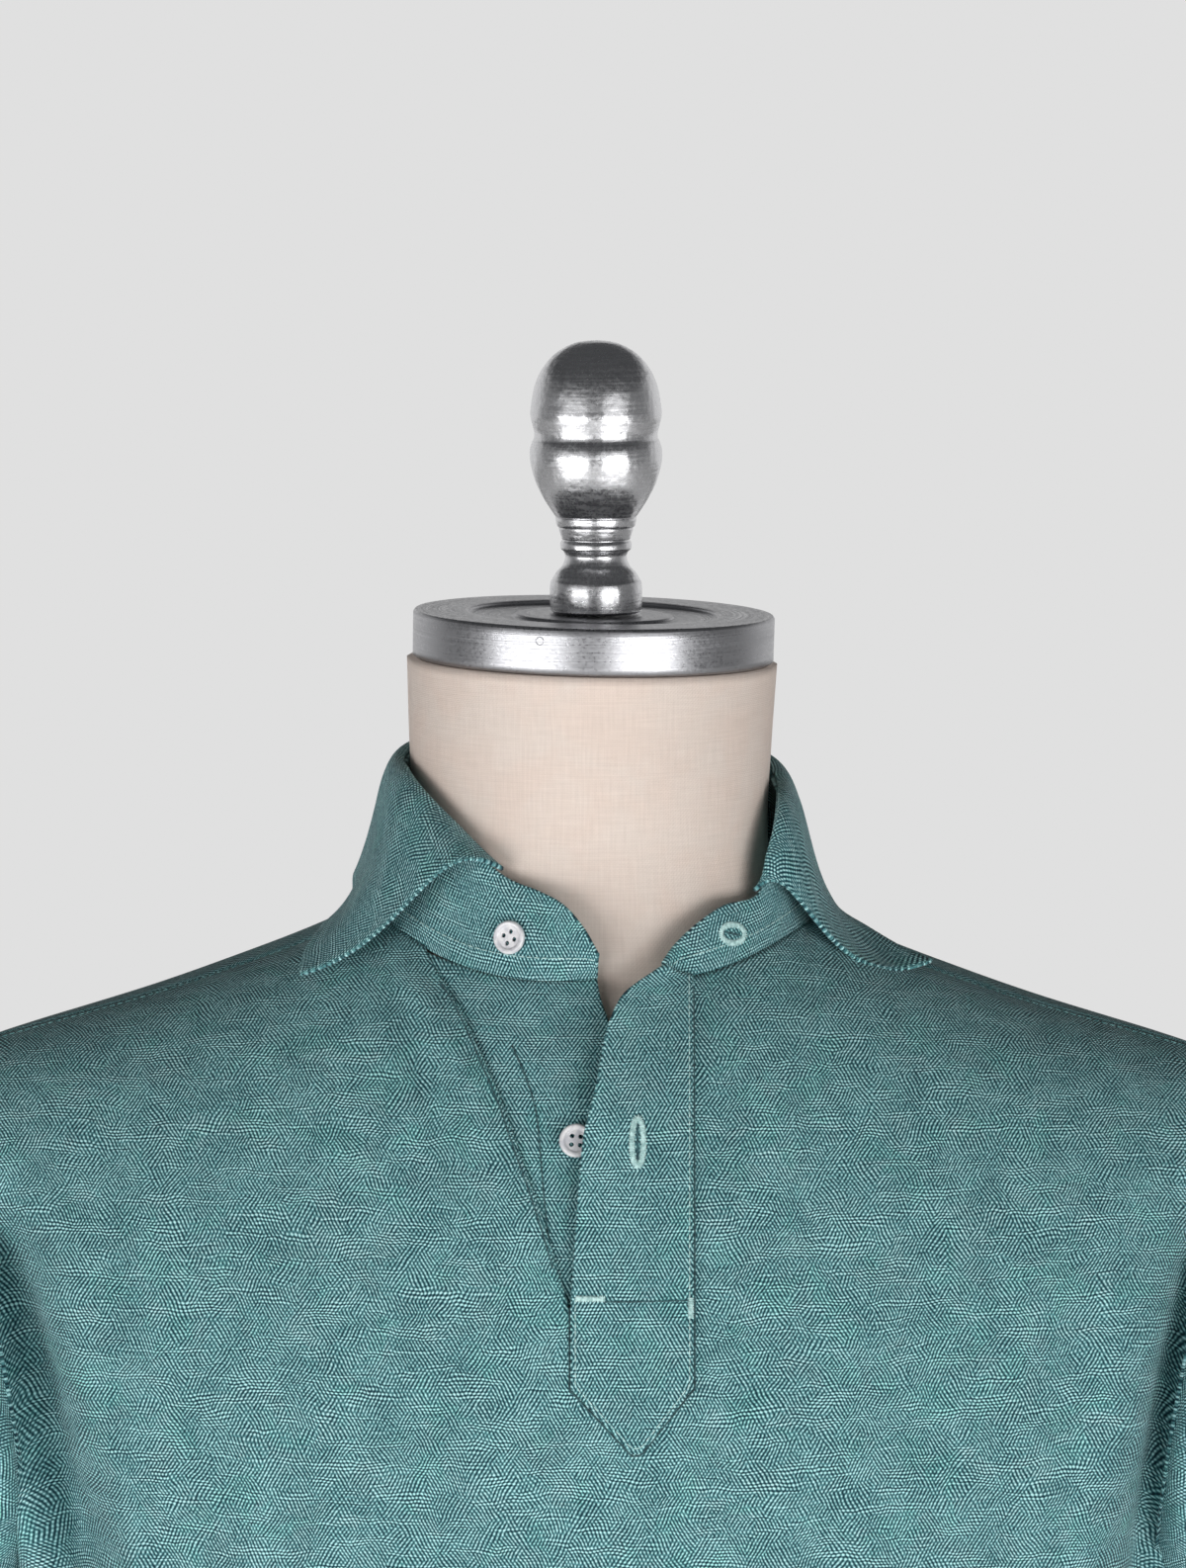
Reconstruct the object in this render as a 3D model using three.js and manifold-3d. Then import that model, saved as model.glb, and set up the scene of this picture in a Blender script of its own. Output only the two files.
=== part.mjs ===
// A knitted polo shirt on a limbless tailor's form, with a turned metal neck cap and finial.
// Millimetres, +Z up, the front faces -Y, and the origin is the middle of the form's foot on the floor.
// Every garment piece is a thin wall: a surface of sections worked out from the sizes below, given its
// thickness along its own normals. Pieces that are sewn together stop SEAM_GAP short of each other.
import * as THREE from "three";
import { mergeVertices } from "three/addons/utils/BufferGeometryUtils.js";
import Module from "manifold-3d";

const wasm = await Module();
wasm.setup();

// Driving dimensions of the cloth
const BODY_CLOTH = 1.4;
const COLLAR_CLOTH = 1.6;
const SEAM_GAP = 0.4;

// Heights of the shirt and the form
const HEM_Z = 78;
const UNDERARM_Z = 535;
const SHOULDER_TIP_Z = 733;
const NECK_TOP_Z = 871;

// Shoulder and neckline
const SHOULDER_TIP_X = 228;
const SHOULDER_SLOPE = 0.335;
const TIP_LIFT = 4.2; // how far the sleeve head lifts the shoulder's tip, from LIFT_FROM_X outwards
const LIFT_FROM_X = 130;
const SHOULDER_SEAM_Y = -8;
const SHOULDER_DROP = 3; // how much lower the shirt's left shoulder is, reached at DROP_FULL_X
const DROP_FULL_X = 100;
const NECKLINE_X = 74;
const NECKLINE_FRONT = 65;
const NECKLINE_BACK = 76;
const RING_ROUNDNESS = 2.3; // superellipse power of the body's sections

// Body sections of the shirt: half width and the depths of front and back from the side seam.
// ease_* is how far the form's own surface lies inside the shirt there.
const TORSO = [
  { z: 0, half_width: 207, front: 127, back: 116, ease_side: 32, ease_front: 12 },
  { z: 78, half_width: 208, front: 128, back: 118, ease_side: 32, ease_front: 12 },
  { z: 200, half_width: 207, front: 128, back: 116, ease_side: 34, ease_front: 14 },
  { z: 330, half_width: 201, front: 122, back: 108, ease_side: 42, ease_front: 16 },
  { z: 440, half_width: 198, front: 124, back: 113, ease_side: 30, ease_front: 12 },
  { z: 535, half_width: 197, front: 126, back: 118, ease_side: 14, ease_front: 9 },
];

// Upper columns run from the underarm level to the shoulder seam as cubic Beziers. angle is the column's
// place round the body, 0 at the middle. The first handle is at (y1, z1) and moved sideways by lean1, and the
// second is at (y2, z2), moved by lean2. The 90 degree column is the armhole's edge.
const FRONT_COLUMNS = [
  { angle: 0, y1: -128, z1: 618, lean1: 0, y2: -112, z2: 806, lean2: 0 },
  { angle: 18.9, y1: -121, z1: 620, lean1: 0, y2: -90, z2: 794, lean2: 0 },
  { angle: 40.5, y1: -109, z1: 619, lean1: 4, y2: -79, z2: 754, lean2: 0 },
  { angle: 63, y1: -92, z1: 600, lean1: -3, y2: -80, z2: 731, lean2: -6 },
  { angle: 79.2, y1: -82, z1: 565, lean1: -10, y2: -85, z2: 706, lean2: -17 },
  { angle: 90, y1: -78, z1: 550, lean1: -21, y2: -88, z2: 690, lean2: -32 },
];
const BACK_COLUMNS = [
  { angle: 0, y1: 128, z1: 640, lean1: 0, y2: 118, z2: 838, lean2: 0 },
  { angle: 18.9, y1: 120, z1: 636, lean1: 0, y2: 96, z2: 806, lean2: 0 },
  { angle: 40.5, y1: 106, z1: 627, lean1: 3, y2: 86, z2: 770, lean2: 0 },
  { angle: 63, y1: 88, z1: 605, lean1: -4, y2: 85, z2: 744, lean2: -7 },
  { angle: 79.2, y1: 78, z1: 567, lean1: -12, y2: 87, z2: 716, lean2: -19 },
  { angle: 90, y1: 74, z1: 550, lean1: -23, y2: 90, z2: 700, lean2: -34 },
];

// Largest folds of the body, as ridges (depth over 0) and troughs along a line on a panel.
// angle is the place round the panel in degrees, and z the height, at both ends of the fold.
const FRONT_FOLDS = [
  { angle_top: -64, z_top: 690, angle_low: -55, z_low: 60, width: 5.5, depth: -5 },
  { angle_top: -48, z_top: 580, angle_low: -44, z_low: 60, width: 5, depth: 3.5 },
  { angle_top: 70, z_top: 680, angle_low: 64, z_low: 60, width: 5.5, depth: -5 },
  { angle_top: 53, z_top: 570, angle_low: 49, z_low: 60, width: 5, depth: 3.5 },
  { angle_top: -20, z_top: 420, angle_low: -24, z_low: 60, width: 6, depth: 4 },
  { angle_top: 23, z_top: 380, angle_low: 21, z_low: 60, width: 6, depth: 4 },
];
const BACK_FOLDS = [
  { angle_top: -66, z_top: 660, angle_low: -62, z_low: 60, width: 5.5, depth: -5 },
  { angle_top: -40, z_top: 560, angle_low: -42, z_low: 60, width: 6, depth: 4 },
  { angle_top: 67, z_top: 660, angle_low: 63, z_low: 60, width: 5.5, depth: -5 },
  { angle_top: 42, z_top: 540, angle_low: 39, z_low: 60, width: 6, depth: 4 },
  { angle_top: 2, z_top: 470, angle_low: -3, z_low: 60, width: 6, depth: 5 },
];
const FOLD_FADE_Z = 45; // a fold dies away over this height at its top end

// Front opening: the neck-side edges of the slit cut in the front, top to bottom.
// seam_x is the button band's seam, edge_x the free edge of the buttonhole band.
const OPENING = [
  { z: 800, seam_x: -66, edge_x: 34 },
  { z: 776, seam_x: -54, edge_x: 27.5 },
  { z: 763, seam_x: -44.5, edge_x: 8.4 },
  { z: 735, seam_x: -30.5, edge_x: 0.5 },
  { z: 723, seam_x: -26, edge_x: -2.6 },
  { z: 700, seam_x: -17.5, edge_x: -4.8 },
  { z: 671, seam_x: -8.5, edge_x: -7 },
];
const SLIT_FOOT_Z = 671;
const BAND_SEAM_X = 32.5; // stitched edge of the buttonhole band
const BAND_SIDE_Z = 645; // where the band's point starts
const BAND_TIP = { x: 14, z: 624 };
const BAND_BUTTONHOLE = { x: 14.2, z: 722, half_width: 1.2, half_height: 6.4 };
const STAND_BUTTONHOLE = { x: 46, z: 785.5, half_width: 2.6, half_height: 1.5 };
const BAND_LIFT = [
  { z: 600, lift: 0 },
  { z: 672, lift: 0.2 },
  { z: 723, lift: 5 },
  { z: 745, lift: 7 },
  { z: 765, lift: 8 },
  { z: 790, lift: 4 },
];

// Collar stand: its seam's place on the neckline in degrees (0 is the front, + is to the right) and its top edge.
const STAND = [
  { seam_angle: 1, x: 1.3, y: -77, z: 781 },
  { seam_angle: -3, x: -3, y: -76, z: 789 },
  { seam_angle: -8, x: -10, y: -72.5, z: 797 },
  { seam_angle: -14, x: -18, y: -68, z: 801 },
  { seam_angle: -24, x: -31, y: -60, z: 806 },
  { seam_angle: -38, x: -47, y: -48, z: 820 },
  { seam_angle: -52, x: -57, y: -37, z: 829 },
  { seam_angle: -68, x: -62.6, y: -22, z: 834.5 },
  { seam_angle: -90, x: -64.6, y: 1, z: 836 },
  { seam_angle: -118, x: -58.5, y: 33, z: 838 },
  { seam_angle: -150, x: -35.5, y: 61, z: 841 },
  { seam_angle: -180, x: 0, y: 71, z: 842 },
  { seam_angle: -210, x: 35, y: 61, z: 839 },
  { seam_angle: -242, x: 57.5, y: 33, z: 833 },
  { seam_angle: -270, x: 62.8, y: 3, z: 828 },
  { seam_angle: -286, x: 63, y: -17, z: 825.5 },
  { seam_angle: -297, x: 62, y: -30, z: 820 },
  { seam_angle: -305, x: 59, y: -39, z: 809 },
  { seam_angle: -312, x: 55, y: -45, z: 797 },
  { seam_angle: -321, x: 44, y: -57, z: 795 },
  { seam_angle: -329, x: 35, y: -65, z: 790 },
  { seam_angle: -336, x: 28, y: -71, z: 784 },
  { seam_angle: -341.5, x: 23.8, y: -75, z: 778 },
];
// Collar leaf: the stations of STAND where it is folded over, with its outer edge. out and up move the roll's
// handle from the fold, in and rise move the edge's handle back towards the neck and up.
const LEAF = [
  { station: 4, x: -97, y: -57, z: 772.6, out: 33, up: 17, in: 37, rise: 10 },
  { station: 5, x: -96, y: -46, z: 778.5, out: 19, up: 8, in: 28, rise: 13 },
  { station: 6, x: -91.5, y: -34, z: 784.5, out: 12, up: 4, in: 24, rise: 15 },
  { station: 7, x: -86, y: -20, z: 788.5, out: 8, up: 3, in: 16, rise: 17 },
  { station: 8, x: -82, y: 1, z: 791.5, out: 7, up: 3, in: 9, rise: 18 },
  { station: 9, x: -79, y: 40, z: 797, out: 7, up: 3, in: 9, rise: 19 },
  { station: 10, x: -49, y: 82, z: 802, out: 7, up: 3, in: 8, rise: 18 },
  { station: 11, x: 0, y: 97, z: 804, out: 7, up: 3, in: 8, rise: 18 },
  { station: 12, x: 49, y: 82, z: 801, out: 7, up: 3, in: 8, rise: 18 },
  { station: 13, x: 74, y: 42, z: 795, out: 7, up: 3, in: 8, rise: 18 },
  { station: 14, x: 79.5, y: 13, z: 791.5, out: 7, up: 3, in: 9, rise: 17 },
  { station: 15, x: 84, y: 1, z: 786, out: 8, up: 3, in: 16, rise: 10 },
  { station: 16, x: 93, y: -8, z: 781.3, out: 10, up: 3, in: 24, rise: 2 },
  { station: 17, x: 104, y: -16, z: 777.5, out: 14, up: 5, in: 31, rise: -5 },
  { station: 18, x: 113.5, y: -23, z: 774.4, out: 19, up: 8, in: 38, rise: -8 },
];

// Sleeves: the cuff's oval opening and the handles of the columns that lead to it, by place round the sleeve.
const CUFF_CENTRE = { x: 257, y: 4, z: 483 };
const CUFF_HALF_FLAT = 72;
const CUFF_HALF_THICK = 38;
const SLEEVE_AXIS = new THREE.Vector3(0.45, 0, -0.893);
const SLEEVE_HANDLES = [
  { angle: 0, out: 27, forward: 0, down: 6, back_off: 110 },
  { angle: 45, out: 25, forward: 5, down: 8, back_off: 95 },
  { angle: 90, out: 19, forward: 8, down: 10, back_off: 70 },
  { angle: 135, out: 13, forward: 5, down: 10, back_off: 45 },
  { angle: 180, out: 10, forward: 0, down: 9, back_off: 30 },
];
const SLEEVE_GAP = 1.8;

// Buttons
const BUTTON_RADIUS = 5.6;
const BUTTON_THICK = 2.2;
const BUTTON_HOLE_RADIUS = 0.75;
const BUTTON_HOLE_OFFSET = 1.3;
const BAND_BUTTON = { x: -5.4, z: 723 };

// Neck column of the form: share of the way from the neckline to the cap, with the oval there.
const FORM_NECK = [
  { rise: 0.07, half_width: 68, shift_x: 0, front: 61, back: 70 },
  { rise: 0.2, half_width: 61.5, shift_x: -0.5, front: 56.5, back: 66 },
  { rise: 0.4, half_width: 60, shift_x: -1, front: 55, back: 63 },
  { rise: 0.7, half_width: 61.2, shift_x: -0.9, front: 58.5, back: 62 },
  { rise: 1, half_width: 62.5, shift_x: -0.3, front: 61.5, back: 62.5 },
];
const FORM_INSET_TOP = 2.6;
const FORM_INSET_SEAM = 3;
const FORM_EDGE_INSET = 5; // how far the form's armhole plates lie inside the armholes
const CAP_TILT = 0.022; // slope of the neck's top and the cap, down to the right

// Turned metal parts, radius and height from the neck's top
const CAP_RADIUS = 61;
const CAP_PROFILE = [
  { r: 0, z: 0.4 },
  { r: 60.4, z: 0.4 },
  { r: 61, z: 1 },
  { r: 61, z: 15.4 },
  { r: 60.2, z: 16.2 },
  { r: 44, z: 16.2 },
  { r: 42, z: 14.8 },
  { r: 29, z: 14.2 },
  { r: 26.5, z: 15.4 },
  { r: 0, z: 15.4 },
];
const FINIAL_FOOT = 16.05;
const FINIAL_PROFILE = [
  { r: 0, z: 0 },
  { r: 14.6, z: 0 },
  { r: 15.5, z: 1 },
  { r: 15.5, z: 9.5 },
  { r: 14.2, z: 12.5 },
  { r: 11.4, z: 15.5 },
  { r: 10.8, z: 18.5 },
  { r: 11.9, z: 21.5 },
  { r: 12.1, z: 25 },
  { r: 12.9, z: 29.5 },
  { r: 14.4, z: 34 },
  { r: 17.6, z: 38.5 },
  { r: 20.3, z: 44 },
  { r: 22, z: 50 },
  { r: 22.3, z: 54.5 },
  { r: 21, z: 58.5 },
  { r: 20.9, z: 61 },
  { r: 22.1, z: 65.5 },
  { r: 22, z: 69 },
  { r: 20.6, z: 76 },
  { r: 18, z: 82 },
  { r: 13.2, z: 87.5 },
  { r: 6.5, z: 90.8 },
  { r: 0, z: 91.7 },
];

const radians = (degrees) => (degrees * Math.PI) / 180;
const mix = (a, b, t) => a + (b - a) * t;
const clamp = (t, low, high) => Math.min(high, Math.max(low, t));
const smooth = (t) => t * t * (3 - 2 * t);
const steps = (count) => Array.from({ length: count + 1 }, (_, i) => i / count);

// All columns of a table at one value of its key, by cubic interpolation. A table whose key falls is read as
// well as one whose key rises. An even table is level at its first row.
function readTable(table, key, value, even = false) {
  const falling = table[0][key] > table[table.length - 1][key];
  const rows = falling ? [...table].reverse() : table;
  const at = clamp(value, rows[0][key], rows[rows.length - 1][key]);
  let i = 0;
  while (i < rows.length - 2 && at > rows[i + 1][key]) i += 1;
  const span = rows[i + 1][key] - rows[i][key];
  const t = (at - rows[i][key]) / span;
  const slope = (k, name) => {
    if (k === 0 && even) return 0;
    const a = rows[Math.max(0, k - 1)];
    const b = rows[Math.min(rows.length - 1, k + 1)];
    return (b[name] - a[name]) / (b[key] - a[key]);
  };
  const out = {};
  for (const name of Object.keys(rows[0])) {
    const [p, q] = [rows[i][name], rows[i + 1][name]];
    const [m, n] = [slope(i, name) * span, slope(i + 1, name) * span];
    out[name] =
      (2 * t ** 3 - 3 * t ** 2 + 1) * p +
      (t ** 3 - 2 * t ** 2 + t) * m +
      (3 * t ** 2 - 2 * t ** 3) * q +
      (t ** 3 - t ** 2) * n;
  }
  return out;
}

function bezier(p, t) {
  const s = 1 - t;
  return new THREE.Vector3()
    .addScaledVector(p[0], s ** 3)
    .addScaledVector(p[1], 3 * s * s * t)
    .addScaledVector(p[2], 3 * s * t * t)
    .addScaledVector(p[3], t ** 3);
}

// Body surface of the shirt
const FRONT = { columns: FRONT_COLUMNS, folds: FRONT_FOLDS, depth: "front", facing: -1, neck: NECKLINE_FRONT };
const BACK = { columns: BACK_COLUMNS, folds: BACK_FOLDS, depth: "back", facing: 1, neck: NECKLINE_BACK };

function ridgeZ(x) {
  const neckLift = 5 * Math.exp(-(((Math.abs(x) - 60) / 26) ** 2));
  const share = clamp((Math.abs(x) - LIFT_FROM_X) / (SHOULDER_TIP_X - LIFT_FROM_X), 0, 1);
  const tipLift = TIP_LIFT * smooth(share);
  return SHOULDER_TIP_Z - 1 + SHOULDER_SLOPE * (SHOULDER_TIP_X - Math.abs(x)) + neckLift + tipLift;
}

function ringPoint(side, angle, z) {
  const section = readTable(TORSO, "z", z);
  const power = 2 / RING_ROUNDNESS;
  const sine = Math.sin(radians(Math.abs(angle)));
  const cosine = Math.max(0, Math.cos(radians(angle)));
  const x = Math.sign(angle) * section.half_width * sine ** power;
  return new THREE.Vector3(x, side.facing * section[side.depth] * cosine ** power, z);
}

function columnHandles(side, angle) {
  const base = ringPoint(side, angle, UNDERARM_Z);
  const turn = Math.sign(angle);
  const reach = Math.abs(base.x);
  const widest = ringPoint(side, 90, UNDERARM_Z).x;
  const spread = (SHOULDER_TIP_X - NECKLINE_X) / (widest - NECKLINE_X);
  const topX = reach <= NECKLINE_X ? reach : NECKLINE_X + (reach - NECKLINE_X) * spread;
  const row = readTable(side.columns, "angle", Math.abs(angle), true);
  const drop = turn > 0 ? SHOULDER_DROP * smooth(Math.min(1, topX / DROP_FULL_X)) : 0;
  return [
    base,
    new THREE.Vector3(base.x + turn * row.lean1, row.y1, row.z1),
    new THREE.Vector3(turn * (topX + row.lean2), row.y2, row.z2 - drop),
    new THREE.Vector3(turn * topX, SHOULDER_SEAM_Y, ridgeZ(topX) - drop),
  ];
}

// Share of a column where it meets the neckline or the shoulder seam.
function columnEnd(side, handles) {
  const x = Math.abs(handles[3].x);
  const ratio = Math.min(1, x / NECKLINE_X);
  const targetY = SHOULDER_SEAM_Y + side.facing * side.neck * Math.sqrt(1 - ratio * ratio);
  let [low, high] = [0.3, 1];
  for (let k = 0; k < 30; k += 1) {
    const middle = (low + high) / 2;
    if (side.facing * (bezier(handles, middle).y - targetY) > 0) low = middle;
    else high = middle;
  }
  return high;
}

// v runs from -1 at the hem, through 0 at the underarm, to 1 at the neckline and shoulder seam.
function smoothBody(side, angle, v, lowZ = HEM_Z) {
  if (v <= 0) return ringPoint(side, angle, mix(UNDERARM_Z, lowZ, -v));
  const handles = columnHandles(side, angle);
  const cutOff = 1 - columnEnd(side, handles);
  return bezier(handles, v * (1 - cutOff * v));
}

function normalAt(surface, u, v) {
  const du = 0.4;
  const dv = 0.004;
  const [u0, u1] = [clamp(u - du, -90, 90), clamp(u + du, -90, 90)];
  const [v0, v1] = [clamp(v - dv, -1, 1), clamp(v + dv, -1, 1)];
  const along = surface(u1, v).sub(surface(u0, v));
  const up = surface(u, v1).sub(surface(u, v0));
  return along.cross(up).normalize();
}

function foldDepth(folds, angle, z) {
  let depth = 0;
  for (const fold of folds) {
    const share = clamp((fold.z_top - z) / (fold.z_top - fold.z_low), -1, 1);
    const centre = mix(fold.angle_top, fold.angle_low, Math.max(0, share));
    const fade = smooth(clamp((fold.z_top + FOLD_FADE_Z - z) / (2 * FOLD_FADE_Z), 0, 1));
    depth += fold.depth * fade * Math.exp(-(((angle - centre) / fold.width) ** 2));
  }
  return depth;
}

// A body panel's outer surface with its folds, moved SEAM_GAP / 2 from the other panel.
function bodySurface(side, angle, v, out = 0) {
  const plain = (a, b) => smoothBody(side, a, b);
  const p = plain(angle, v);
  const n = normalAt(plain, angle, v).multiplyScalar(-side.facing);
  p.addScaledVector(n, foldDepth(side.folds, angle, p.z) + out);
  p.y += (side.facing * SEAM_GAP) / 2;
  return p;
}

// Column angle for an x within the neckline's width.
function angleForX(x) {
  const half = readTable(TORSO, "z", UNDERARM_Z).half_width;
  const sine = (Math.abs(x) / half) ** (RING_ROUNDNESS / 2);
  return (Math.sign(x) * Math.asin(sine) * 180) / Math.PI;
}

// The point of the front at a given x and height, moved out along its normal.
function frontAt(x, z, out) {
  const angle = angleForX(x);
  let [low, high] = [-0.2, 1];
  for (let k = 0; k < 26; k += 1) {
    const middle = (low + high) / 2;
    if (smoothBody(FRONT, angle, middle).z < z) low = middle;
    else high = middle;
  }
  return bodySurface(FRONT, angle, high, out);
}

// Closed wall from a grid of outer points. inner gives the matching inner grid.
function wallGeometry(outer, inner, wrap = false) {
  const rows = outer.length;
  const cols = outer[0].length;
  const points = [...outer.flat(), ...inner.flat()];
  const half = rows * cols;
  const at = (i, j, layer) => layer * half + i * cols + (j % cols);
  const faces = [];
  const quad = (a, b, c, d) => faces.push(...splitQuad(points, a, b, c, d));
  const lastCol = wrap ? cols : cols - 1;
  for (let i = 0; i < rows - 1; i += 1) {
    for (let j = 0; j < lastCol; j += 1) {
      quad(at(i, j, 0), at(i, j + 1, 0), at(i + 1, j + 1, 0), at(i + 1, j, 0));
      quad(at(i, j, 1), at(i + 1, j, 1), at(i + 1, j + 1, 1), at(i, j + 1, 1));
    }
    if (!wrap) {
      quad(at(i, 0, 1), at(i, 0, 0), at(i + 1, 0, 0), at(i + 1, 0, 1));
      quad(at(i, cols - 1, 0), at(i, cols - 1, 1), at(i + 1, cols - 1, 1), at(i + 1, cols - 1, 0));
    }
  }
  for (let j = 0; j < lastCol; j += 1) {
    quad(at(0, j, 1), at(0, j + 1, 1), at(0, j + 1, 0), at(0, j, 0));
    quad(at(rows - 1, j, 0), at(rows - 1, j + 1, 0), at(rows - 1, j + 1, 1), at(rows - 1, j, 1));
  }
  return facedGeometry(points, faces);
}

// Two triangles of a four-sided cell, split along its shorter diagonal.
function splitQuad(points, a, b, c, d) {
  const shortFirst = points[a].distanceTo(points[c]) <= points[b].distanceTo(points[d]);
  return shortFirst ? [a, b, c, a, c, d] : [a, b, d, b, c, d];
}

// Geometry from points and triangles, without collapsed faces and with its faces turned outwards.
function facedGeometry(points, faces) {
  const flat = new Float32Array(points.flatMap((p) => [p.x, p.y, p.z]));
  const raw = new THREE.BufferGeometry();
  raw.setAttribute("position", new THREE.BufferAttribute(flat, 3));
  raw.setIndex(faces);
  const merged = mergeVertices(raw, 1e-3);
  const index = merged.index.array;
  const kept = [];
  for (let i = 0; i < index.length; i += 3) {
    const [a, b, c] = [index[i], index[i + 1], index[i + 2]];
    if (a !== b && b !== c && c !== a) kept.push(a, b, c);
  }
  merged.setIndex(kept);
  if (signedVolume(merged) < 0) merged.setIndex(kept.reverse());
  merged.computeVertexNormals();
  return merged;
}

function signedVolume(geometry) {
  const p = geometry.attributes.position;
  const index = geometry.index.array;
  const [a, b, c] = [new THREE.Vector3(), new THREE.Vector3(), new THREE.Vector3()];
  let total = 0;
  for (let i = 0; i < index.length; i += 3) {
    a.fromBufferAttribute(p, index[i]);
    b.fromBufferAttribute(p, index[i + 1]);
    c.fromBufferAttribute(p, index[i + 2]);
    total += a.dot(b.cross(c)) / 6;
  }
  return total;
}

// Inner grid of a wall: each outer point moved in by the thickness, along the normal of its grid. inSeam says
// where an edge lies in a seam's plane of equal y, so that the wall ends square to it.
function insetGrid(grid, thickness, wrap = false, inSeam = () => false) {
  const rows = grid.length;
  const cols = grid[0].length;
  const pick = (i, j) => {
    const row = grid[clamp(i, 0, rows - 1)];
    return wrap ? row[(j + cols) % cols] : row[clamp(j, 0, cols - 1)];
  };
  return grid.map((row, i) =>
    row.map((point, j) => {
      const along = pick(i, j + 1).clone().sub(pick(i, j - 1));
      const up = pick(i + 1, j).clone().sub(pick(i - 1, j));
      const normal = along.cross(up).normalize();
      if (inSeam(i, j, point)) normal.setY(0).normalize();
      return point.clone().addScaledVector(normal, -thickness);
    }),
  );
}

// Solids for cutting
function solidOf(geometry) {
  const bare = geometry.index ? geometry.toNonIndexed() : geometry.clone();
  bare.deleteAttribute("normal");
  if (bare.getAttribute("uv")) bare.deleteAttribute("uv");
  const merged = mergeVertices(bare, 1e-3);
  const vertProperties = merged.attributes.position.array;
  const triVerts = new Uint32Array(merged.index.array);
  return new wasm.Manifold(new wasm.Mesh({ numProp: 3, vertProperties, triVerts }));
}

function geometryOf(solid) {
  const mesh = solid.getMesh();
  const geometry = new THREE.BufferGeometry();
  const count = mesh.vertProperties.length / mesh.numProp;
  const flat = new Float32Array(count * 3);
  for (let i = 0; i < count; i += 1) {
    flat.set(mesh.vertProperties.subarray(i * mesh.numProp, i * mesh.numProp + 3), i * 3);
  }
  geometry.setAttribute("position", new THREE.BufferAttribute(flat, 3));
  geometry.setIndex(new THREE.BufferAttribute(mesh.triVerts, 1));
  geometry.computeVertexNormals();
  return geometry;
}

// Prism through the front along Y, from an outline of [x, z] corners.
function frontPrism(corners) {
  const shape = new THREE.Shape(corners.map(([x, z]) => new THREE.Vector2(x, z)));
  const prism = new THREE.ExtrudeGeometry(shape, { depth: 220, bevelEnabled: false });
  prism.rotateX(Math.PI / 2);
  return prism;
}

// An oval hole through a wall that faces forwards.
function withButtonhole(wall, hole) {
  const corners = steps(10).slice(1).map((s) => {
    const angle = 2 * Math.PI * s;
    return [hole.x + hole.half_width * Math.cos(angle), hole.z + hole.half_height * Math.sin(angle)];
  });
  return geometryOf(solidOf(wall).subtract(solidOf(frontPrism(corners))));
}

// Front and back panels
const NECK_ANGLES = steps(6).map((s) => angleForX(NECKLINE_X * Math.sin((s * Math.PI) / 2)));
const SHOULDER_ANGLES = steps(9).slice(1).map((s) => mix(angleForX(NECKLINE_X), 90, s));
const HALF_ANGLES = [...NECK_ANGLES, ...SHOULDER_ANGLES];
const PANEL_ANGLES = [...HALF_ANGLES.slice(1).map((a) => -a).reverse(), ...HALF_ANGLES];
const UPPER_ROWS = 11;
const PANEL_ROWS = [...steps(7).map((s) => s - 1), ...steps(UPPER_ROWS).slice(1)];

function panelGeometry(side) {
  const angles = side.facing < 0 ? PANEL_ANGLES : [...PANEL_ANGLES].reverse();
  const outer = PANEL_ROWS.map((v) => angles.map((a) => bodySurface(side, a, v)));
  const [lastRow, lastCol] = [PANEL_ROWS.length - 1, angles.length - 1];
  const inSeam = (i, j, point) => {
    const onShoulder = i === lastRow && Math.abs(point.x) > NECKLINE_X - 0.01;
    const onSide = PANEL_ROWS[i] <= 0 && (j === 0 || j === lastCol);
    return onShoulder || onSide;
  };
  return wallGeometry(outer, insetGrid(outer, BODY_CLOTH, false, inSeam));
}

// Slit in the front, between the button band's seam and the buttonhole band's stitched edge.
function slitOutline() {
  const margin = SEAM_GAP * 2.2; // the seam slants, so its gap is measured wider across
  const left = steps(12).map((s) => {
    const z = mix(OPENING[0].z, SLIT_FOOT_Z, s);
    return [readTable(OPENING, "z", z).seam_x - margin, z];
  });
  const foot = SLIT_FOOT_Z - SEAM_GAP;
  left[left.length - 1][1] = foot;
  const right = BAND_SEAM_X - 3;
  return [[left[0][0], 840], ...left, [right, foot], [right, 840]];
}

function frontGeometry() {
  const cut = solidOf(panelGeometry(FRONT)).subtract(solidOf(frontPrism(slitOutline())));
  const largest = cut.decompose().sort((a, b) => b.volume() - a.volume())[0];
  return geometryOf(largest);
}

// Height of the neckline at an x on the front.
function necklineZ(x) {
  return smoothBody(FRONT, angleForX(x), 1).z;
}

// Button band: fills the slit from its seam to under the buttonhole band.
const BUTTON_BAND_EDGE_X = 15;
function buttonBandGeometry() {
  const outer = steps(10).map((s) => {
    return steps(6).map((t) => {
      const topZ = necklineZ(mix(readTable(OPENING, "z", 779).seam_x, 1.3, t)) - 0.3;
      const z = mix(SLIT_FOOT_Z + 0.5, topZ, s);
      const edge = mix(BUTTON_BAND_EDGE_X, 1.3, smooth(clamp((z - 735) / 40, 0, 1)));
      return frontAt(mix(readTable(OPENING, "z", z).seam_x, edge, t), z, 0);
    });
  });
  return wallGeometry(outer, insetGrid(outer, BODY_CLOTH));
}

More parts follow.
